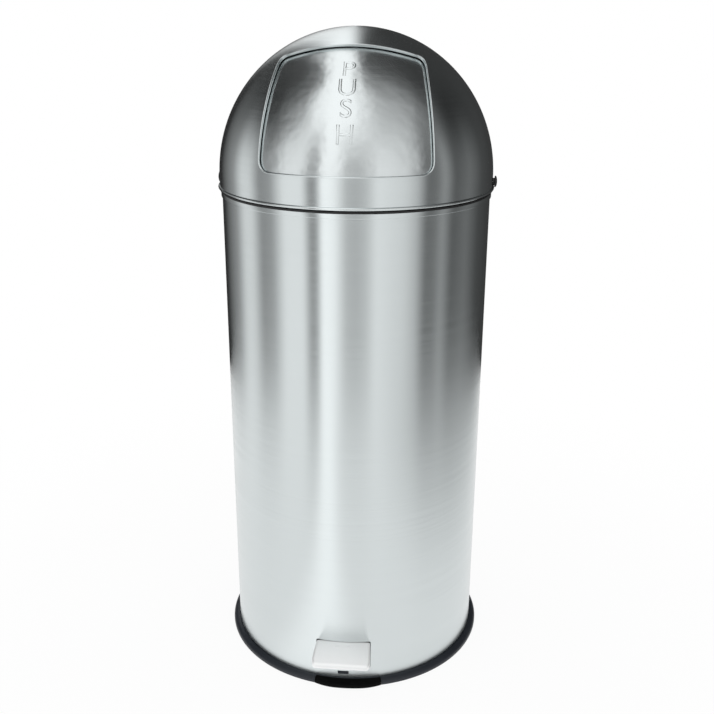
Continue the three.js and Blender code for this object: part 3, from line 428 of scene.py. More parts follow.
def upright(points):  # radius and height as a profile in the XZ plane
    return [(radius, 0, height) for radius, height in points]


def turnedRound(bm, angle):  # about the bin's own axis
    bmesh.ops.rotate(bm, verts=bm.verts, cent=(0, 0, 0), matrix=Matrix.Rotation(angle, 3, "Z"))


def arc(centre, radii, start, end, steps):  # degrees
    spots = [radians(start + (end - start) * i / steps) for i in range(steps + 1)]
    return [(centre[0] + radii[0] * cos(a), centre[1] + radii[1] * sin(a)) for a in spots]


def onCurve(t, first, control, last):
    shares = ((1 - t) ** 2, 2 * t * (1 - t), t ** 2)
    return tuple(shares[0] * a + shares[1] * b + shares[2] * c
                 for a, b, c in zip(first, control, last))


def rounded(points, radius, steps=3):  # an outline with every corner eased
    eased = []
    for i, corner in enumerate(points):
        here = Vector(corner)
        before = Vector(points[i - 1]) - here
        after = Vector(points[(i + 1) % len(points)]) - here
        reach = min(radius, before.length * 0.45, after.length * 0.45)
        first = here + before.normalized() * reach
        last = here + after.normalized() * reach
        eased += [onCurve(step / steps, first, here, last) for step in range(steps + 1)]
    return eased


def prism(outline, start, end, place):
    bm = bmesh.new()
    verts = [bm.verts.new(place(u, v, start)) for u, v in outline]
    face = bm.faces.new(verts)
    pushed = bmesh.ops.extrude_face_region(bm, geom=[face])["geom"]
    shift = Vector(place(0, 0, end)) - Vector(place(0, 0, start))
    moved = [item for item in pushed if isinstance(item, bmesh.types.BMVert)]
    bmesh.ops.translate(bm, verts=moved, vec=shift)
    bmesh.ops.recalc_face_normals(bm, faces=bm.faces)
    return bm


def seenFromFront(u, v, depth):
    return (u, depth, v)


def seenFromSide(u, v, depth):
    return (depth, u, v)


def seenFromAbove(u, v, depth):
    return (u, v, depth)


def rod(radius, start, end, steps=32):  # a cylinder between two points
    bm = bmesh.new()
    bmesh.ops.create_cone(bm, cap_ends=True, segments=steps, radius1=radius, radius2=radius,
                          depth=(Vector(end) - Vector(start)).length)
    turn = Vector((0, 0, 1)).rotation_difference(Vector(end) - Vector(start)).to_matrix().to_4x4()
    bmesh.ops.transform(bm, verts=bm.verts, matrix=turn)
    bmesh.ops.translate(bm, verts=bm.verts, vec=(Vector(start) + Vector(end)) / 2)
    return bm


def scratch(bm, name="cutter"):
    bmesh.ops.recalc_face_normals(bm, faces=bm.faces)
    mesh = bpy.data.meshes.new(name)
    bm.to_mesh(mesh)
    bm.free()
    holder = bpy.data.objects.new(name, mesh)
    scene.collection.objects.link(holder)
    return holder


def combined(bm, others, operation="DIFFERENCE"):
    base = scratch(bm, "base")
    cutters = [scratch(other) for other in others]
    for cutter in cutters:
        change = base.modifiers.new("cut", "BOOLEAN")
        change.operation = operation
        change.solver = "EXACT"
        change.object = cutter
    bpy.context.view_layer.update()
    depsgraph = bpy.context.evaluated_depsgraph_get()
    result = bmesh.new()
    result.from_object(base, depsgraph)
    for holder in [base, *cutters]:
        leftover = holder.data
        bpy.data.objects.remove(holder)
        bpy.data.meshes.remove(leftover)
    return result


def guideNormals(mesh, rule):
    wanted = []
    for polygon in mesh.polygons:
        for index in polygon.loop_indices:
            spot = mesh.vertices[mesh.loops[index].vertex_index].co
            normal = rule(spot, polygon.normal)
            wanted.append(tuple(normal) if normal else tuple(mesh.corner_normals[index].vector))
    mesh.normals_split_custom_set(wanted)


def addPiece(name, mesh, body, finish, *replaced):
    mesh.materials.append(finishes[finish])
    piece = bpy.data.objects.new(name, mesh)
    scene.collection.objects.link(piece)
    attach(piece, body)
    if replaced:
        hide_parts(*replaced)
    return piece


shellSettings = {
    "bandHeight": 7 * mm, "bandEase": 1.4 * mm,
    "slotHalf": 40.3 * mm, "slotLow": 26 * mm, "slotAir": 0.5 * mm, "slotCorner": 2.5 * mm,
    "tabWidth": 16.4 * mm, "tabHeight": 5.6 * mm, "tabCentre": 17.5 * mm, "tabs": (0, 120, 240),
    "steps": 288, "rows": 24,
    "near": 0.1 * mm, "tilted": 0.2, "turned": 0.8,  # what counts as lying on the round wall
}


def shellNormal(spot, facing):  # round on the walls, flat on the edges of the band and cut-outs
    s = shellSettings
    reach = sqrt(spot.x ** 2 + spot.y ** 2)
    outwards = abs(facing.x * spot.x + facing.y * spot.y)
    if abs(facing.z) > s["tilted"] or outwards < s["turned"] * reach:
        return None
    if abs(reach - wallRadius) < s["near"]:
        return (spot.x / reach, spot.y / reach, 0)
    if abs(reach - wallRadius + sheetSizes["shell"]) < s["near"]:
        return (-spot.x / reach, -spot.y / reach, 0)
    return None


def makeBodyShell():
    s = shellSettings
    inner = wallRadius - sheetSizes["shell"]
    bandLow = wallTop - s["bandHeight"]
    outer = wallRadius + sheetSizes["bandProud"]
    band = rounded([(wallRadius, bandLow), (outer, bandLow), (outer, wallTop), (inner, wallTop)],
                   s["bandEase"], 4)[5:]  # without the corner where it meets the wall
    rows = [wallBottom + (bandLow - wallBottom) * i / s["rows"] for i in range(s["rows"] + 1)]
    profile = [(inner, wallBottom)] + [(wallRadius, row) for row in rows] + band
    profile += [(inner, row) for row in rows[:0:-1]]
    bm = spun(upright(profile), s["steps"])
    slotTop = highOf("pedal_plate").z + s["slotAir"]
    slot = rounded([(-s["slotHalf"], s["slotLow"]), (s["slotHalf"], s["slotLow"]),
                    (s["slotHalf"], slotTop), (-s["slotHalf"], slotTop)], s["slotCorner"], 6)
    cutters = [prism(slot, -wallRadius - spare, -wallRadius / 2, seenFromFront)]
    for angle in s["tabs"]:
        half = (s["tabWidth"] / 2, s["tabHeight"] / 2)
        tab = prism([(-half[0], s["tabCentre"] - half[1]), (half[0], s["tabCentre"] - half[1]),
                     (half[0], s["tabCentre"] + half[1]), (-half[0], s["tabCentre"] + half[1])],
                    -wallRadius - spare / 2, -wallRadius + spare / 2, seenFromFront)
        turnedRound(tab, radians(angle))
        cutters.append(tab)
    mesh = finished(combined(bm, cutters), "shell_wall")
    guideNormals(mesh, shellNormal)
    addPiece("shell_wall", mesh, "bin", "steel", "body_shell")


makeBodyShell()
report("body shell")


baseSettings = {
    "flange": 10 * mm, "height": 8.8 * mm, "floor": 2.6 * mm, "channelFloor": 3 * mm,
    "channelGap": 0.3 * mm, "wall": 3.2 * mm, "wallHeight": 23 * mm,
    "lip": 2.2 * mm, "foot": 3.2 * mm, "ease": 0.6 * mm, "floorEase": 2 * mm, "steps": 256,
    "edge": 1.2 * mm, "edgeIn": 0.3 * mm, "edgeUp": 0.4 * mm,
    "webs": 12, "webHigh": 6 * mm, "webHalf": 1 * mm, "webFoot": 1 * mm, "webLap": 1 * mm,
    "hub": 56 * mm, "hubFoot": 0.8 * mm, "hubProud": 0.3 * mm, "hubGap": 0.2 * mm,
    "padHalf": 14.5, "padTurn": 2.2, "padEndGap": 0.2,  # degrees
    "padProud": 5 * mm, "padFull": 0.35, "padTaper": 0.36, "padGap": 0.3 * mm,
    "padEdge": 1.4 * mm, "padEdgeIn": 0.4 * mm,
}


def baseCrown(outerRadius, height):  # the rounded top, from its outer edge inwards
    s = baseSettings
    brow = wallRadius + s["channelGap"] + s["lip"]
    return brow, arc((brow, s["foot"]), (outerRadius - brow, height - s["foot"]), 0, 90, 12)


def makeBasePan():
    s = baseSettings
    outerRadius = wallRadius + s["flange"]
    channelOut = wallRadius + s["channelGap"]
    channelIn = wallRadius - sheetSizes["shell"] - s["channelGap"]
    brow, crown = baseCrown(outerRadius, s["height"])
    inside = channelIn - s["wall"]
    profile = [(0, 0), (outerRadius - s["edge"], 0), (outerRadius - s["edgeIn"], s["edgeUp"]),
               (outerRadius, s["edge"])] + crown
    profile += [(channelOut, s["height"]), (channelOut, s["channelFloor"]),
                (channelIn, s["channelFloor"]), (channelIn, s["wallHeight"] - s["ease"]),
                (channelIn - s["ease"], s["wallHeight"]),
                (inside + s["ease"], s["wallHeight"]), (inside, s["wallHeight"] - s["ease"]),
                (inside, s["floor"] + s["floorEase"]), (inside - s["floorEase"], s["floor"]),
                (0, s["floor"])]
    bm = spun(upright(profile), s["steps"])
    past = outerRadius + spare / 2
    space = upright([(brow, -spare / 2), (past, -spare / 2), (past, spare), (brow, spare)])
    room = spun(space, 29, angle=radians(2 * s["padHalf"]))
    turnedRound(room, radians(s["padTurn"] - 90 - s["padHalf"]))
    bmesh.ops.holes_fill(room, edges=room.edges)
    webTop = s["floor"] + s["webHigh"]
    hubTop = webTop + s["hubProud"]
    hubIn, hubOut = s["hub"] - s["webHalf"], s["hub"] + s["webHalf"]
    hub = [(hubIn, s["hubFoot"]), (hubOut, s["hubFoot"]), (hubOut, hubTop), (hubIn, hubTop)]
    bm = combined(combined(bm, [room]), [spun(upright(hub), 96)], "UNION")
    ribs = []
    near, far = s["hub"] + s["hubGap"], inside + s["webLap"]
    for i in range(s["webs"]):
        web = prism([(-s["webHalf"], near), (s["webHalf"], near), (s["webHalf"], far),
                     (-s["webHalf"], far)], s["webFoot"], webTop, seenFromAbove)
        turnedRound(web, 2 * pi * (i + 0.5) / s["webs"])
        ribs.append(web)
    bm = combined(bm, ribs, "UNION")
    addPiece("pan", finished(bm, "pan"), "bin", "dark", "base_pan")


def makeToePad():
    s = baseSettings
    outerRadius = wallRadius + s["flange"] + s["padProud"]
    low = lowOf("toe_pad").z
    brow, crown = baseCrown(outerRadius, highOf("toe_pad").z)
    inner = brow + s["padGap"]
    half = radians(s["padHalf"] - s["padEndGap"])
    edge, bite = s["padEdge"], s["padEdgeIn"]
    profile = [(inner, low), (outerRadius - edge, low), (outerRadius - bite, low + bite),
               (outerRadius, low + edge)]
    profile += crown + [(inner, highOf("toe_pad").z)]
    bm = spun(upright(profile), 32, angle=2 * half)
    turnedRound(bm, -pi / 2 - half)
    for vert in bm.verts:  # the pad swells out of the base and dies away at both ends
        reach = sqrt(vert.co.x ** 2 + vert.co.y ** 2)
        share = abs(atan2(vert.co.x, -vert.co.y)) / half
        swell = 1 - max(0.0, (share - s["padFull"]) / (1 - s["padFull"])) ** 2 * s["padTaper"]
        wanted = inner + (reach - inner) * swell
        vert.co.x *= wanted / reach
        vert.co.y *= wanted / reach
    turnedRound(bm, radians(s["padTurn"]))
    bmesh.ops.holes_fill(bm, edges=bm.edges)
    addPiece("toe_rest", finished(bm, "toe_rest"), "bin", "rubber", "toe_pad")


makeBasePan()
makeToePad()
report("base")


flapSettings = {
    "inset": 2.7 * mm, "riseLess": 0.7 * mm, "drop": 4 * mm, "sheet": 1.2 * mm,
    "halfWidth": 119.5 * mm, "lap": 8 * mm, "eye": 8 * mm, "pinHole": 3.3 * mm,
    "low": 7, "high": 74, "arm": 30,  # degrees up from the pins
    "armOut": 0.3, "armHalf": 0.95,  # shares of the eye
    "rows": 60, "steps": 256,
}
lidSettings = {
    "beadHeight": 4 * mm, "beadReturn": 2.8 * mm, "rows": 60,
    "sill": 23 * mm, "sideHeight": 123 * mm, "height": 153 * mm,
    "width": 223 * mm, "topWidth": 196 * mm, "sillCorner": 16 * mm, "sideBulge": 5 * mm,
    "topCorner": 16 * mm, "cornerRise": 2 * mm, "cornerPull": (2 * mm, 3 * mm), "cornerSteps": 10,
    "hem": 1.1 * mm, "hemAir": 1.1 * mm,
    "hemSteps": 40, "hemSides": 16, "pinHole": 3.3 * mm, "steps": 256,
}


def curveBetween(first, control, last, steps):
    return [onCurve(step / steps, first, control, last) for step in range(1, steps + 1)]


def mouthOutline(steps=24):  # seen from the front, anticlockwise from the sill's right end
    s = lidSettings
    sill = skirtTop + s["sill"]
    low = s["width"] / 2
    high = s["topWidth"] / 2
    shoulder = sill + s["sideHeight"]
    top = sill + s["height"]
    corner = s["sillCorner"]
    cornerX = high - s["topCorner"]
    cornerZ = (shoulder + top) / 2 + s["cornerRise"]
    inward, down = s["cornerPull"]
    points = [(low - corner, sill)]
    points += curveBetween(points[-1], (low, sill), (low, sill + corner), s["cornerSteps"])
    middle = ((low + high) / 2 + s["sideBulge"], (sill + shoulder) / 2 + corner / 2)
    points += curveBetween(points[-1], middle, (high, shoulder), steps)
    points += curveBetween(points[-1], (high - inward, cornerZ - down), (cornerX, cornerZ),
                           s["cornerSteps"])
    points += curveBetween(points[-1], (cornerX / 2, top), (0, top), steps)
    flat = [(points[0][0] * (2 * i / steps - 1), sill) for i in range(1, steps)]
    left = [(-x, z) for x, z in points[-2::-1]]
    return points + left + flat


def onDome(x, z, inset=0.0):
    lift = max(0.0, (z - skirtTop) / (domeRise - inset))
    reach = (lidRadius - inset) * sqrt(max(0.0, 1 - lift * lift))
    return Vector((x, -sqrt(max(0.0, reach * reach - x * x)), z))


def steepest(spot, radius, rise, centre):  # straight out of a dome at a place on it
    return Vector((spot.x / radius ** 2, spot.y / radius ** 2, (spot.z - centre) / rise ** 2))


nearness = {"wall": 0.15 * mm, "dome": 0.0016, "facing": 0.97}  # the last two are shares


def shellRule(radius, rise, centre, sheet):  # round on both sides of a dome, flat on its cut edges
    def rule(spot, facing):
        reach = sqrt(spot.x ** 2 + spot.y ** 2)
        for side, thinner in ((1, 0), (-1, sheet)):
            across = radius - thinner
            tall = rise - thinner
            if spot.z <= centre + 0.01 * mm:
                near = abs(reach - across) < nearness["wall"]
                normal = Vector((spot.x, spot.y, 0))
            else:
                place = (reach / across) ** 2 + ((spot.z - centre) / tall) ** 2
                near = abs(place - 1) < nearness["dome"]
                normal = steepest(spot, across, tall, centre)
            normal.normalize()
            if near and normal.dot(facing) * side > nearness["facing"]:
                return normal * side
        return None
    return rule


def domeProfile(radius, rise, centre, foot, sheet, rows, edge=()):
    # from the crown down the outside, round the lower edge and up the inside
    outer = arc((0, centre), (radius, rise), 90, 0, rows)
    outer[0] = (0, centre + rise)
    inner = arc((0, centre), (radius - sheet, rise - sheet), 0, 90, rows)
    inner[-1] = (0, centre + rise - sheet)
    wall = [(radius, foot + (centre - foot) * i / 4) for i in (3, 2, 1, 0)]
    innerWall = [(radius - sheet, foot + (centre - foot) * i / 4) for i in range(4)]
    return outer + wall + list(edge) + innerWall + inner


def makeDome():
    s = lidSettings
    outerRadius = lidRadius + sheetSizes["beadProud"]
    middle = lidBottom + s["beadHeight"] / 2
    half = s["beadHeight"] / 2
    roll = arc((outerRadius - half, middle), (half, half), 62, -90, 12)
    sheet = sheetSizes["lid"]
    lip = lidRadius - s["beadReturn"]
    bead = roll + [(lip, lidBottom), (lip, lidBottom + sheet),
                   (lidRadius - sheet, lidBottom + sheet)]
    foot = lidBottom + s["beadHeight"]
    profile = domeProfile(lidRadius, domeRise, skirtTop, foot, sheet, s["rows"], bead)
    bm = spun(upright(profile), s["steps"])
    mouth = prism(mouthOutline(), -lidRadius - spare, 0, seenFromFront)
    span = lidRadius + spare
    pinHole = rod(s["pinHole"], (-span, 0, pivotZ), (span, 0, pivotZ))
    mesh = finished(combined(bm, [mouth, pinHole]), "dome")
    guideNormals(mesh, shellRule(lidRadius, domeRise, skirtTop, sheet))
    addPiece("dome", mesh, "lid", "steel", "dome_lid")


def flapShape():
    f = flapSettings
    return lidRadius - f["inset"], domeRise - f["riseLess"], skirtTop - f["drop"]


def makeHem():  # the mouth's edge is turned in towards the flap, deepest at the top
    s = lidSettings
    radius, rise, centre = flapShape()
    spots = [onDome(x, z, sheetSizes["lid"] / 2) for x, z in mouthOutline(s["hemSteps"])]
    sides = s["hemSides"]
    bm = bmesh.new()
    loops = []
    for i, spot in enumerate(spots):
        ahead = (spots[(i + 1) % len(spots)] - spots[i - 1]).normalized()
        normal = steepest(spot, lidRadius, domeRise, skirtTop).normalized()
        inward = normal.cross(ahead).normalized()
        slope = steepest(spot, radius, rise, centre)
        over = (spot.x ** 2 + spot.y ** 2) / radius ** 2 + ((spot.z - centre) / rise) ** 2 - 1
        away = over / (2 * slope.length)  # how far the flap lies below
        depth = max(0.0, away - s["hem"] - s["hemAir"])
        loop = []
        for step in range(sides):
            turn = 2 * pi * step / sides
            down = depth if step > sides / 2 else 0.0
            reach = inward * (cos(turn) * s["hem"]) + normal * (sin(turn) * s["hem"] - down)
            loop.append(bm.verts.new(spot + reach))
        loops.append(loop)
    for i, loop in enumerate(loops):
        following = loops[(i + 1) % len(loops)]
        for step in range(sides):
            bm.faces.new((loop[step - 1], loop[step], following[step], following[step - 1]))
    addPiece("mouth_hem", finished(bm, "mouth_hem", 60), "lid", "steel", "dome_lid")


makeDome()
makeHem()
report("dome")


def makeFlap():
    s = flapSettings
    radius, rise, centre = flapShape()
    foot = pivotZ - s["eye"] - 1 * mm
    profile = domeProfile(radius, rise, centre, foot, s["sheet"], s["rows"])
    shell = spun(upright(profile), s["steps"])

    def corner(angle, reach):
        return (-reach * cos(radians(angle)), pivotZ + reach * sin(radians(angle)))

    halfway = (s["low"] + s["high"]) / 2
    door = prism([(0, pivotZ), corner(s["low"], 1.5 * radius), corner(halfway, 2 * radius),
                  corner(s["high"], 1.5 * radius)], -s["halfWidth"], s["halfWidth"], seenFromSide)
    reach = sqrt(radius ** 2 - s["halfWidth"] ** 2) + s["lap"]
    eye = s["eye"]
    back, half = eye * s["armOut"], eye * s["armHalf"]
    armOutline = [(back, pivotZ - half), corner(s["low"], reach), corner(s["arm"], reach),
                  (back, pivotZ + half)]
    span = lidRadius + spare / 2
    cutters = [door]
    for side in (-1, 1):
        ends = (side * (s["halfWidth"] - s["lap"]), side * span)
        cutters.append(prism(armOutline, min(ends), max(ends), seenFromSide))
        cutters.append(rod(eye, (ends[0], 0, pivotZ), (ends[1], 0, pivotZ), 48))
    wanted = combined(cutters[0], cutters[1:], "UNION")
    pinHole = rod(s["pinHole"], (-span, 0, pivotZ), (span, 0, pivotZ))
    cut = combined(shell, [wanted], "INTERSECT")
    mesh = finished(combined(cut, [pinHole]), "flap")
    guideNormals(mesh, shellRule(radius, rise, centre, s["sheet"]))
    mesh.use_auto_texspace = False  # the brushing runs round this centre
    mesh.texspace_location = (0, 0, centre)
    mesh.texspace_size = (0.2, 0.2, 0.5)
    addPiece("flap", mesh, "flap", "flap", "push_flap")


makeFlap()
report("flap")


# the word pressed into the flap
letterSettings = {
    "letters": (("P", 50.2), ("U", 41.4), ("S", 32.6), ("H", 22.6)),  # degrees up the flap's curve
    "size": 36 * mm, "turn": 0.2, "thinner": 1.1 * mm, "edge": 2 * mm,
    "proud": 0.6 * mm, "sunk": 0.5 * mm,
}


def letterMesh(character):
    s = letterSettings
    text = bpy.data.curves.new("letter", "FONT")
    text.body = character
    text.size = s["size"]
    text.align_x = "CENTER"
    text.align_y = "CENTER"
    text.offset = -s["thinner"]
    text.bevel_depth = s["edge"]
    text.bevel_resolution = 6
    holder = bpy.data.objects.new("letter", text)
    scene.collection.objects.link(holder)
    bpy.context.view_layer.update()
    made = bpy.data.meshes.new_from_object(holder)
    bm = bmesh.new()
    bm.from_mesh(made)
    bpy.data.objects.remove(holder)
    bpy.data.curves.remove(text)
    bpy.data.meshes.remove(made)
    bmesh.ops.remove_doubles(bm, verts=bm.verts, dist=weld)
    whole = bm.verts[:] + bm.edges[:] + bm.faces[:]
    back = (0, 0, s["edge"] - s["proud"] - s["sunk"])
    bmesh.ops.bisect_plane(bm, geom=whole, plane_co=back, plane_no=(0, 0, 1), clear_inner=True)
    rim = [edge for edge in bm.edges if edge.is_boundary]
    bmesh.ops.triangle_fill(bm, edges=rim, use_beauty=True)
    bmesh.ops.triangulate(bm, faces=bm.faces)
    return bm


def makeLettering():
    s = letterSettings
    radius, rise, centre = flapShape()
    word = bmesh.new()
    for character, place in s["letters"]:
        bm = letterMesh(character)
        for vert in bm.verts:
            tilt = radians(place) + vert.co.y / rise
            turn = radians(s["turn"]) + vert.co.x / (radius * cos(tilt))
            out = vert.co.z - s["edge"] + s["proud"]
            spot = Vector((radius * cos(tilt) * sin(turn), -radius * cos(tilt) * cos(turn),
                           centre + rise * sin(tilt)))
            vert.co = spot + steepest(spot, radius, rise, centre).normalized() * out
        piece = bpy.data.meshes.new("letter")
        bm.to_mesh(piece)
        bm.free()
        word.from_mesh(piece)
        bpy.data.meshes.remove(piece)
    addPiece("flap_lettering", finished(word, "flap_lettering", 50), "flap", "flap")


makeLettering()
report("lettering")


ringSettings = {
    "flange": 2 * mm, "proud": 2.5 * mm, "inset": 27 * mm, "lipInset": 17 * mm, "lipHeight": 5 * mm,
    "wall": 3 * mm, "skirt": 16 * mm, "skirtWall": 4.2 * mm, "drop": 7 * mm, "ease": 0.5 * mm,
    "gap": 0.3 * mm, "dropWall": 2 * mm, "steps": 240,
    "notchHalf": 12 * mm, "notchFront": 171 * mm,
}


def makeRimRing():
    s = ringSettings
    low = wallTop + s["gap"]
    top = low + s["flange"]
    skirtOut = wallRadius - sheetSizes["shell"] - s["gap"]
    skirtIn = skirtOut - s["skirtWall"]
    innerEdge = wallRadius - s["inset"]
    lip = wallRadius - s["lipInset"]
    edge = wallRadius + s["proud"]
    dropOut = innerEdge + s["dropWall"]
    outline = [(innerEdge, low - s["drop"]), (dropOut, low - s["drop"]), (dropOut, low),
               (skirtIn, low), (skirtIn, low - s["skirt"]), (skirtOut, low - s["skirt"]),
               (skirtOut, low), (edge, low), (edge, top), (lip, top), (lip, top + s["lipHeight"]),
               (lip - s["wall"], top + s["lipHeight"]), (lip - s["wall"], top), (innerEdge, top)]
    bm = spun(upright(rounded(outline, s["ease"], 2)), s["steps"])
    past = wallRadius + spare / 2
    notch = prism([(-s["notchHalf"], s["notchFront"]), (s["notchHalf"], s["notchFront"]),
                   (s["notchHalf"], past), (-s["notchHalf"], past)],
                  low - 2 * s["skirt"], top + spare, seenFromAbove)
    addPiece("ring", finished(combined(bm, [notch]), "ring"), "bin", "black", "rim_ring")


makeRimRing()
report("rim ring")


bucketSettings = {
    "gap": 4 * mm, "taper": 16 * mm, "sheet": 1 * mm, "rim": 10 * mm, "bead": 2.4 * mm,
    "footRise": 3 * mm, "footWidth": 11 * mm, "ease": 2 * mm, "bands": 10, "steps": 192,
    "neck": 0.4 * mm, "neckOut": 0.5 * mm, "rimSheet": 1.2 * mm,
}
bailSettings = {
    "out": 2.5 * mm, "wire": 2.5 * mm, "hook": 2.5 * mm, "pinOut": 0.5 * mm,
    "head": 4 * mm, "headLong": 2 * mm,
    "steps": 96, "sides": 20,
}
gripSettings = {
    "radius": 6 * mm, "half": 15.5, "rings": 27, "sides": 28,
    "end": 0.80, "groove": 0.93,  # shares of the radius
}
bucketTopRadius = wallRadius - ringSettings["inset"] - bucketSettings["gap"]
bailZ = (lowOf("bucket_bail").z + highOf("bucket_bail").z) / 2
bailRadius = bucketTopRadius + bailSettings["out"]


def makeBucket():
    s = bucketSettings
    low = lowOf("inner_bucket").z
    rim = highOf("rim_ring").z - ringSettings["lipHeight"] + ringSettings["gap"]
    top = bucketTopRadius
    bottom = top - s["taper"]
    foot = bottom - s["footWidth"]
    up = s["footRise"]
    sheet = s["sheet"]
    brim = top + s["rim"]
    base = low + s["ease"]
    roll = arc((top + s["bead"], rim + s["bead"]), (s["bead"], s["bead"]), 180, -45, 14)
    profile = [(0, low + up), (foot - up, low + up), (foot, low), (bottom - s["ease"], low),
               (bottom, base)]
    shares = [i / s["bands"] for i in range(1, s["bands"])]
    walls = [(bottom + (top - bottom) * share, base + (rim - base) * share) for share in shares]
    profile += walls
    profile += [(top, rim - s["neck"]), (top + s["neckOut"], rim), (brim, rim),
                (brim, rim + s["rimSheet"])]
    profile += reversed(roll)
    profile += [(radius - sheet, height) for radius, height in reversed(walls)]
    profile += [(bottom - sheet, base + sheet), (bottom - s["ease"] - sheet, low + sheet),
                (foot, low + sheet), (foot - up, low + up + sheet), (0, low + up + sheet)]
    mesh = finished(spun(upright(profile), s["steps"]), "bucket", 40)
    addPiece("bucket", mesh, "bin", "bucket", "inner_bucket")


def circle(centre, radius, steps):
    return arc(centre, (radius, radius), 0, 360 - 360 / steps, steps - 1)


def makeBail():
    s = bailSettings
    bm = spun(upright(circle((bailRadius, bailZ), s["wire"], s["sides"])), s["steps"], angle=pi)
    bmesh.ops.holes_fill(bm, edges=bm.edges)
    inner = highOf("bucket_ear_right").x - s["hook"]
    for side in (-1, 1):
        start = (side * inner, 0, bailZ)
        pin = rod(s["wire"], start, (side * (bailRadius + s["pinOut"]), 0, bailZ), s["sides"])
        head = rod(s["head"], (side * (inner - s["headLong"]), 0, bailZ), start, 24)
        bm = combined(bm, [pin, head], "UNION")
    addPiece("bail", finished(bm, "bail", 40), "bail", "zinc", "bucket_bail")


def makeGrip():
    s = gripSettings
    half = radians(s["half"])
    rings = s["rings"]
    section = circle((bailRadius, bailZ), s["radius"], s["sides"])
    bm = spun(upright(section), rings, angle=2 * half)
    for vert in bm.verts:  # finger ribs round the grip, drawn in at both ends
        reach = sqrt(vert.co.x ** 2 + vert.co.y ** 2)
        step = round(atan2(vert.co.y, vert.co.x) / (2 * half) * rings)
        swell = s["end"] if step in (0, rings) else (1.0 if step % 2 else s["groove"])
        share = bailRadius / reach
        middle = Vector((vert.co.x * share, vert.co.y * share, bailZ))
        vert.co = middle + (vert.co - middle) * swell
    bmesh.ops.holes_fill(bm, edges=bm.edges)
    turnedRound(bm, pi / 2 - half)
    addPiece("grip", finished(bm, "grip", 50), "bail", "black", "bail_grip")


makeBucket()
makeBail()
makeGrip()
report("bucket")


pedalSettings = {
    "root": 3 * mm, "rootHalf": 39.5 * mm, "frontHalf": 43 * mm, "flat": 20 * mm,
    "nose": 6 * mm, "noseRise": 1.5 * mm, "fall": 10 * mm, "lip": 6 * mm, "sideDrop": 10 * mm,
    "bend": 2.2 * mm, "sheet": 1.6 * mm, "corner": 7 * mm, "cornerDepth": 12 * mm,
    "crown": 0.6 * mm, "leastDrop": 0.05 * mm, "across": 72, "along": 48,
    "split": 0.75,  # the tread's share of its middle line; the lip has the rest
    "front": lowOf("pedal_plate").y, "top": highOf("pedal_plate").z,
}
rivetSettings = {
    "shank": 2 * mm, "head": 3.2 * mm, "sunk": 1.4 * mm, "edge": 0.3 * mm, "crownIn": 0.6 * mm,
    "crownEdge": 0.15 * mm, "crown": 0.25 * mm, "steps": 40,
}


def pedalLine(v):  # depth and height along the middle of the tread, from the root to the lip's edge
    s = pedalSettings
    rootY = -wallRadius + s["root"]
    frontY = s["front"]
    rootZ = s["top"]
    nose = (frontY + s["nose"], rootZ - s["fall"] + s["noseRise"])
    split = s["split"]
    if v < split:
        return onCurve(v / split, (rootY, rootZ), (rootY - s["flat"], rootZ), nose)
    lipTop = rootZ - s["fall"]
    return onCurve((v - split) / (1 - split), nose, (frontY, lipTop), (frontY, lipTop - s["lip"]))


def pedalPlace(u, v):  # u runs across from -1 to 1, v from the root to the front
    s = pedalSettings
    y, z = pedalLine(v)
    rootY, rootZ = pedalLine(0)
    frontY, floorZ = pedalLine(1)
    share = (rootY - y) / (rootY - frontY)
    half = s["rootHalf"] + (s["frontHalf"] - s["rootHalf"]) * share
    cut = max(0.0, 1 - (y - frontY) / s["cornerDepth"])
    half -= s["corner"] * (1 - sqrt(1 - min(cut, 1.0) ** 2))
    under = rootZ - s["sideDrop"] + (floorZ - rootZ + s["sideDrop"]) * share
    bend = min(s["bend"], max(s["leastDrop"], z - under))
    drop = max(s["leastDrop"], z - under - bend)
    flat = half - bend
    path = abs(u) * (flat + bend * pi / 2 + drop)
    side = 1 if u >= 0 else -1
    if path <= flat:
        lift = s["crown"] * (1 - (path / flat) ** 2) * (1 - share)
        return Vector((side * path, y, z - s["crown"] * (1 - share) + lift))
    turn = min((path - flat) / bend, pi / 2)
    low = max(0.0, path - flat - bend * pi / 2)
    base = z - s["crown"] * (1 - share)
    return Vector((side * (flat + bend * sin(turn)), y, base - bend * (1 - cos(turn)) - low))


def makePedal():
    s = pedalSettings
    bm = bmesh.new()
    bmesh.ops.create_grid(bm, x_segments=s["across"], y_segments=s["along"], size=1)
    for vert in bm.verts:
        vert.co = pedalPlace(vert.co.x, (1 - vert.co.y) / 2)
    bm.normal_update()
    pushed = bmesh.ops.extrude_face_region(bm, geom=bm.faces[:], use_keep_orig=True)["geom"]
    for vert in [item for item in pushed if isinstance(item, bmesh.types.BMVert)]:
        vert.co -= vert.normal * s["sheet"]
    addPiece("tread", finished(bm, "tread", 50), "pedal", "pedal", "pedal_plate")


def makeTreadRivets():  # flush heads, dressed in the tread's finish, with its painted brightness
    s = rivetSettings
    for name in ("pedal_rivet_left", "pedal_rivet_right"):
        low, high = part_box(name)
        middle = (low + high) / 2
        nearest = min((i / 200 for i in range(101)), key=lambda v: abs(pedalLine(v)[0] - middle.y))
        face = pedalLine(nearest)[1]
        outline = [(0, low.z), (s["shank"], low.z), (s["shank"], face - s["sunk"]),
                   (s["head"], face - s["edge"]), (s["head"] - s["crownIn"], face + s["crownEdge"]),
                   (0, face + s["crown"])]
        profile = [(middle.x + reach, middle.y, height) for reach, height in outline]
        mesh = finished(spun(profile, s["steps"], centre=(middle.x, middle.y, 0)), "flush_rivet")
        addPiece(name.replace("pedal_rivet", "flush_rivet"), mesh, "pedal", "pedal", name)


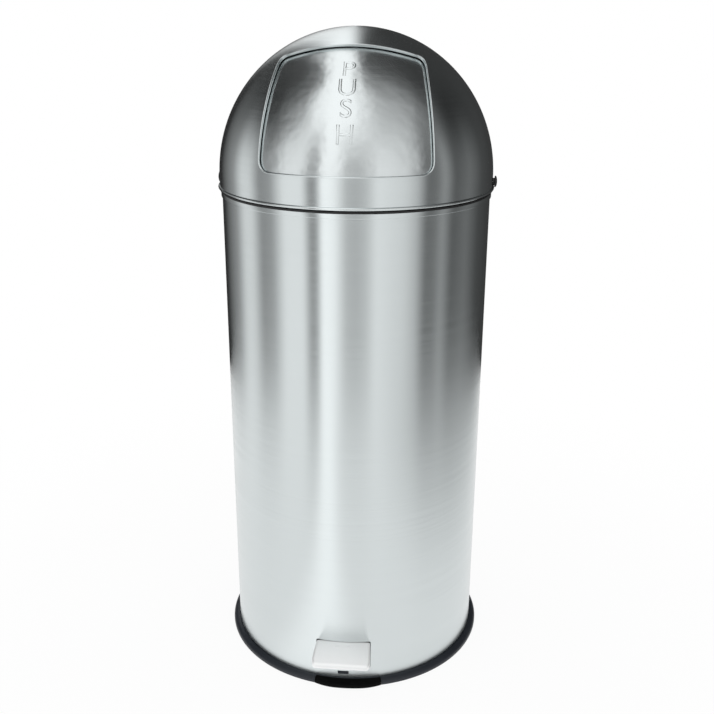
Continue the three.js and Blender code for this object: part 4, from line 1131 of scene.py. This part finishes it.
makePedal()
makeTreadRivets()
report("pedal")


capSettings = {
    "radius": 8 * mm, "edge": 0.96 * mm, "dome": 3.4 * mm, "stemLess": 3 * mm, "ease": 0.4 * mm,
    "steps": 48,
}


def makeCaps():
    s = capSettings
    face = highOf("pivot_cap_right").x
    inner = lowOf("pivot_cap_right").x
    rim = face - s["dome"]
    stem = s["radius"] - s["stemLess"]
    crown = arc((0, rim + s["edge"]), (s["radius"], s["dome"] - s["edge"]), 0, 90, 10)
    crown[-1] = (0, face)
    outline = [(0, inner), (stem, inner), (stem, rim), (s["radius"] - s["ease"], rim),
               (s["radius"], rim + s["ease"])] + crown
    for side, name in ((1, "pivot_cap_right"), (-1, "pivot_cap_left")):
        profile = [(side * out, 0, pivotZ + reach) for reach, out in outline]
        mesh = finished(spun(profile, s["steps"], (1, 0, 0), (0, 0, pivotZ)), "button", 40)
        addPiece(name.replace("pivot_cap", "button"), mesh, "lid", "black", name)


makeCaps()
report("caps")


# CAD pieces that keep their own shape
keptFinishes = {
    "zinc": ["bucket_ear_left", "bucket_ear_right", "ear_rivet_left", "ear_rivet_right",
             "lever_bracket", "lever_pin", "lever_pin_clip", "bracket_screw_1", "bracket_screw_2",
             "bracket_screw_3", "bracket_screw_4", "hinge_pin", "push_rod", "pedal_lever",
             "flap_pin_left", "flap_pin_right",
             "hinge_rivet_body_left", "hinge_rivet_body_right", "hinge_rivet_lid_left",
             "hinge_rivet_lid_right"],
    "black": ["hinge_fixed_leaf", "hinge_moving_leaf", "lift_lug", "rod_foot", "rod_tip",
              "rod_guide_lower", "rod_guide_upper", "flap_spacer_left", "flap_spacer_right"],
    "rubber": ["flap_stop_left", "flap_stop_right", "lid_buffer_1", "lid_buffer_2", "lid_buffer_3",
               "lid_buffer_4"],
}


def dressKeptPieces():
    for finish, names in keptFinishes.items():
        for name in names:
            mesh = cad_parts[name].data
            mesh.materials.clear()
            mesh.materials.append(finishes[finish])


dressKeptPieces()
report("kept pieces")

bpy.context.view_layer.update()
report("done")
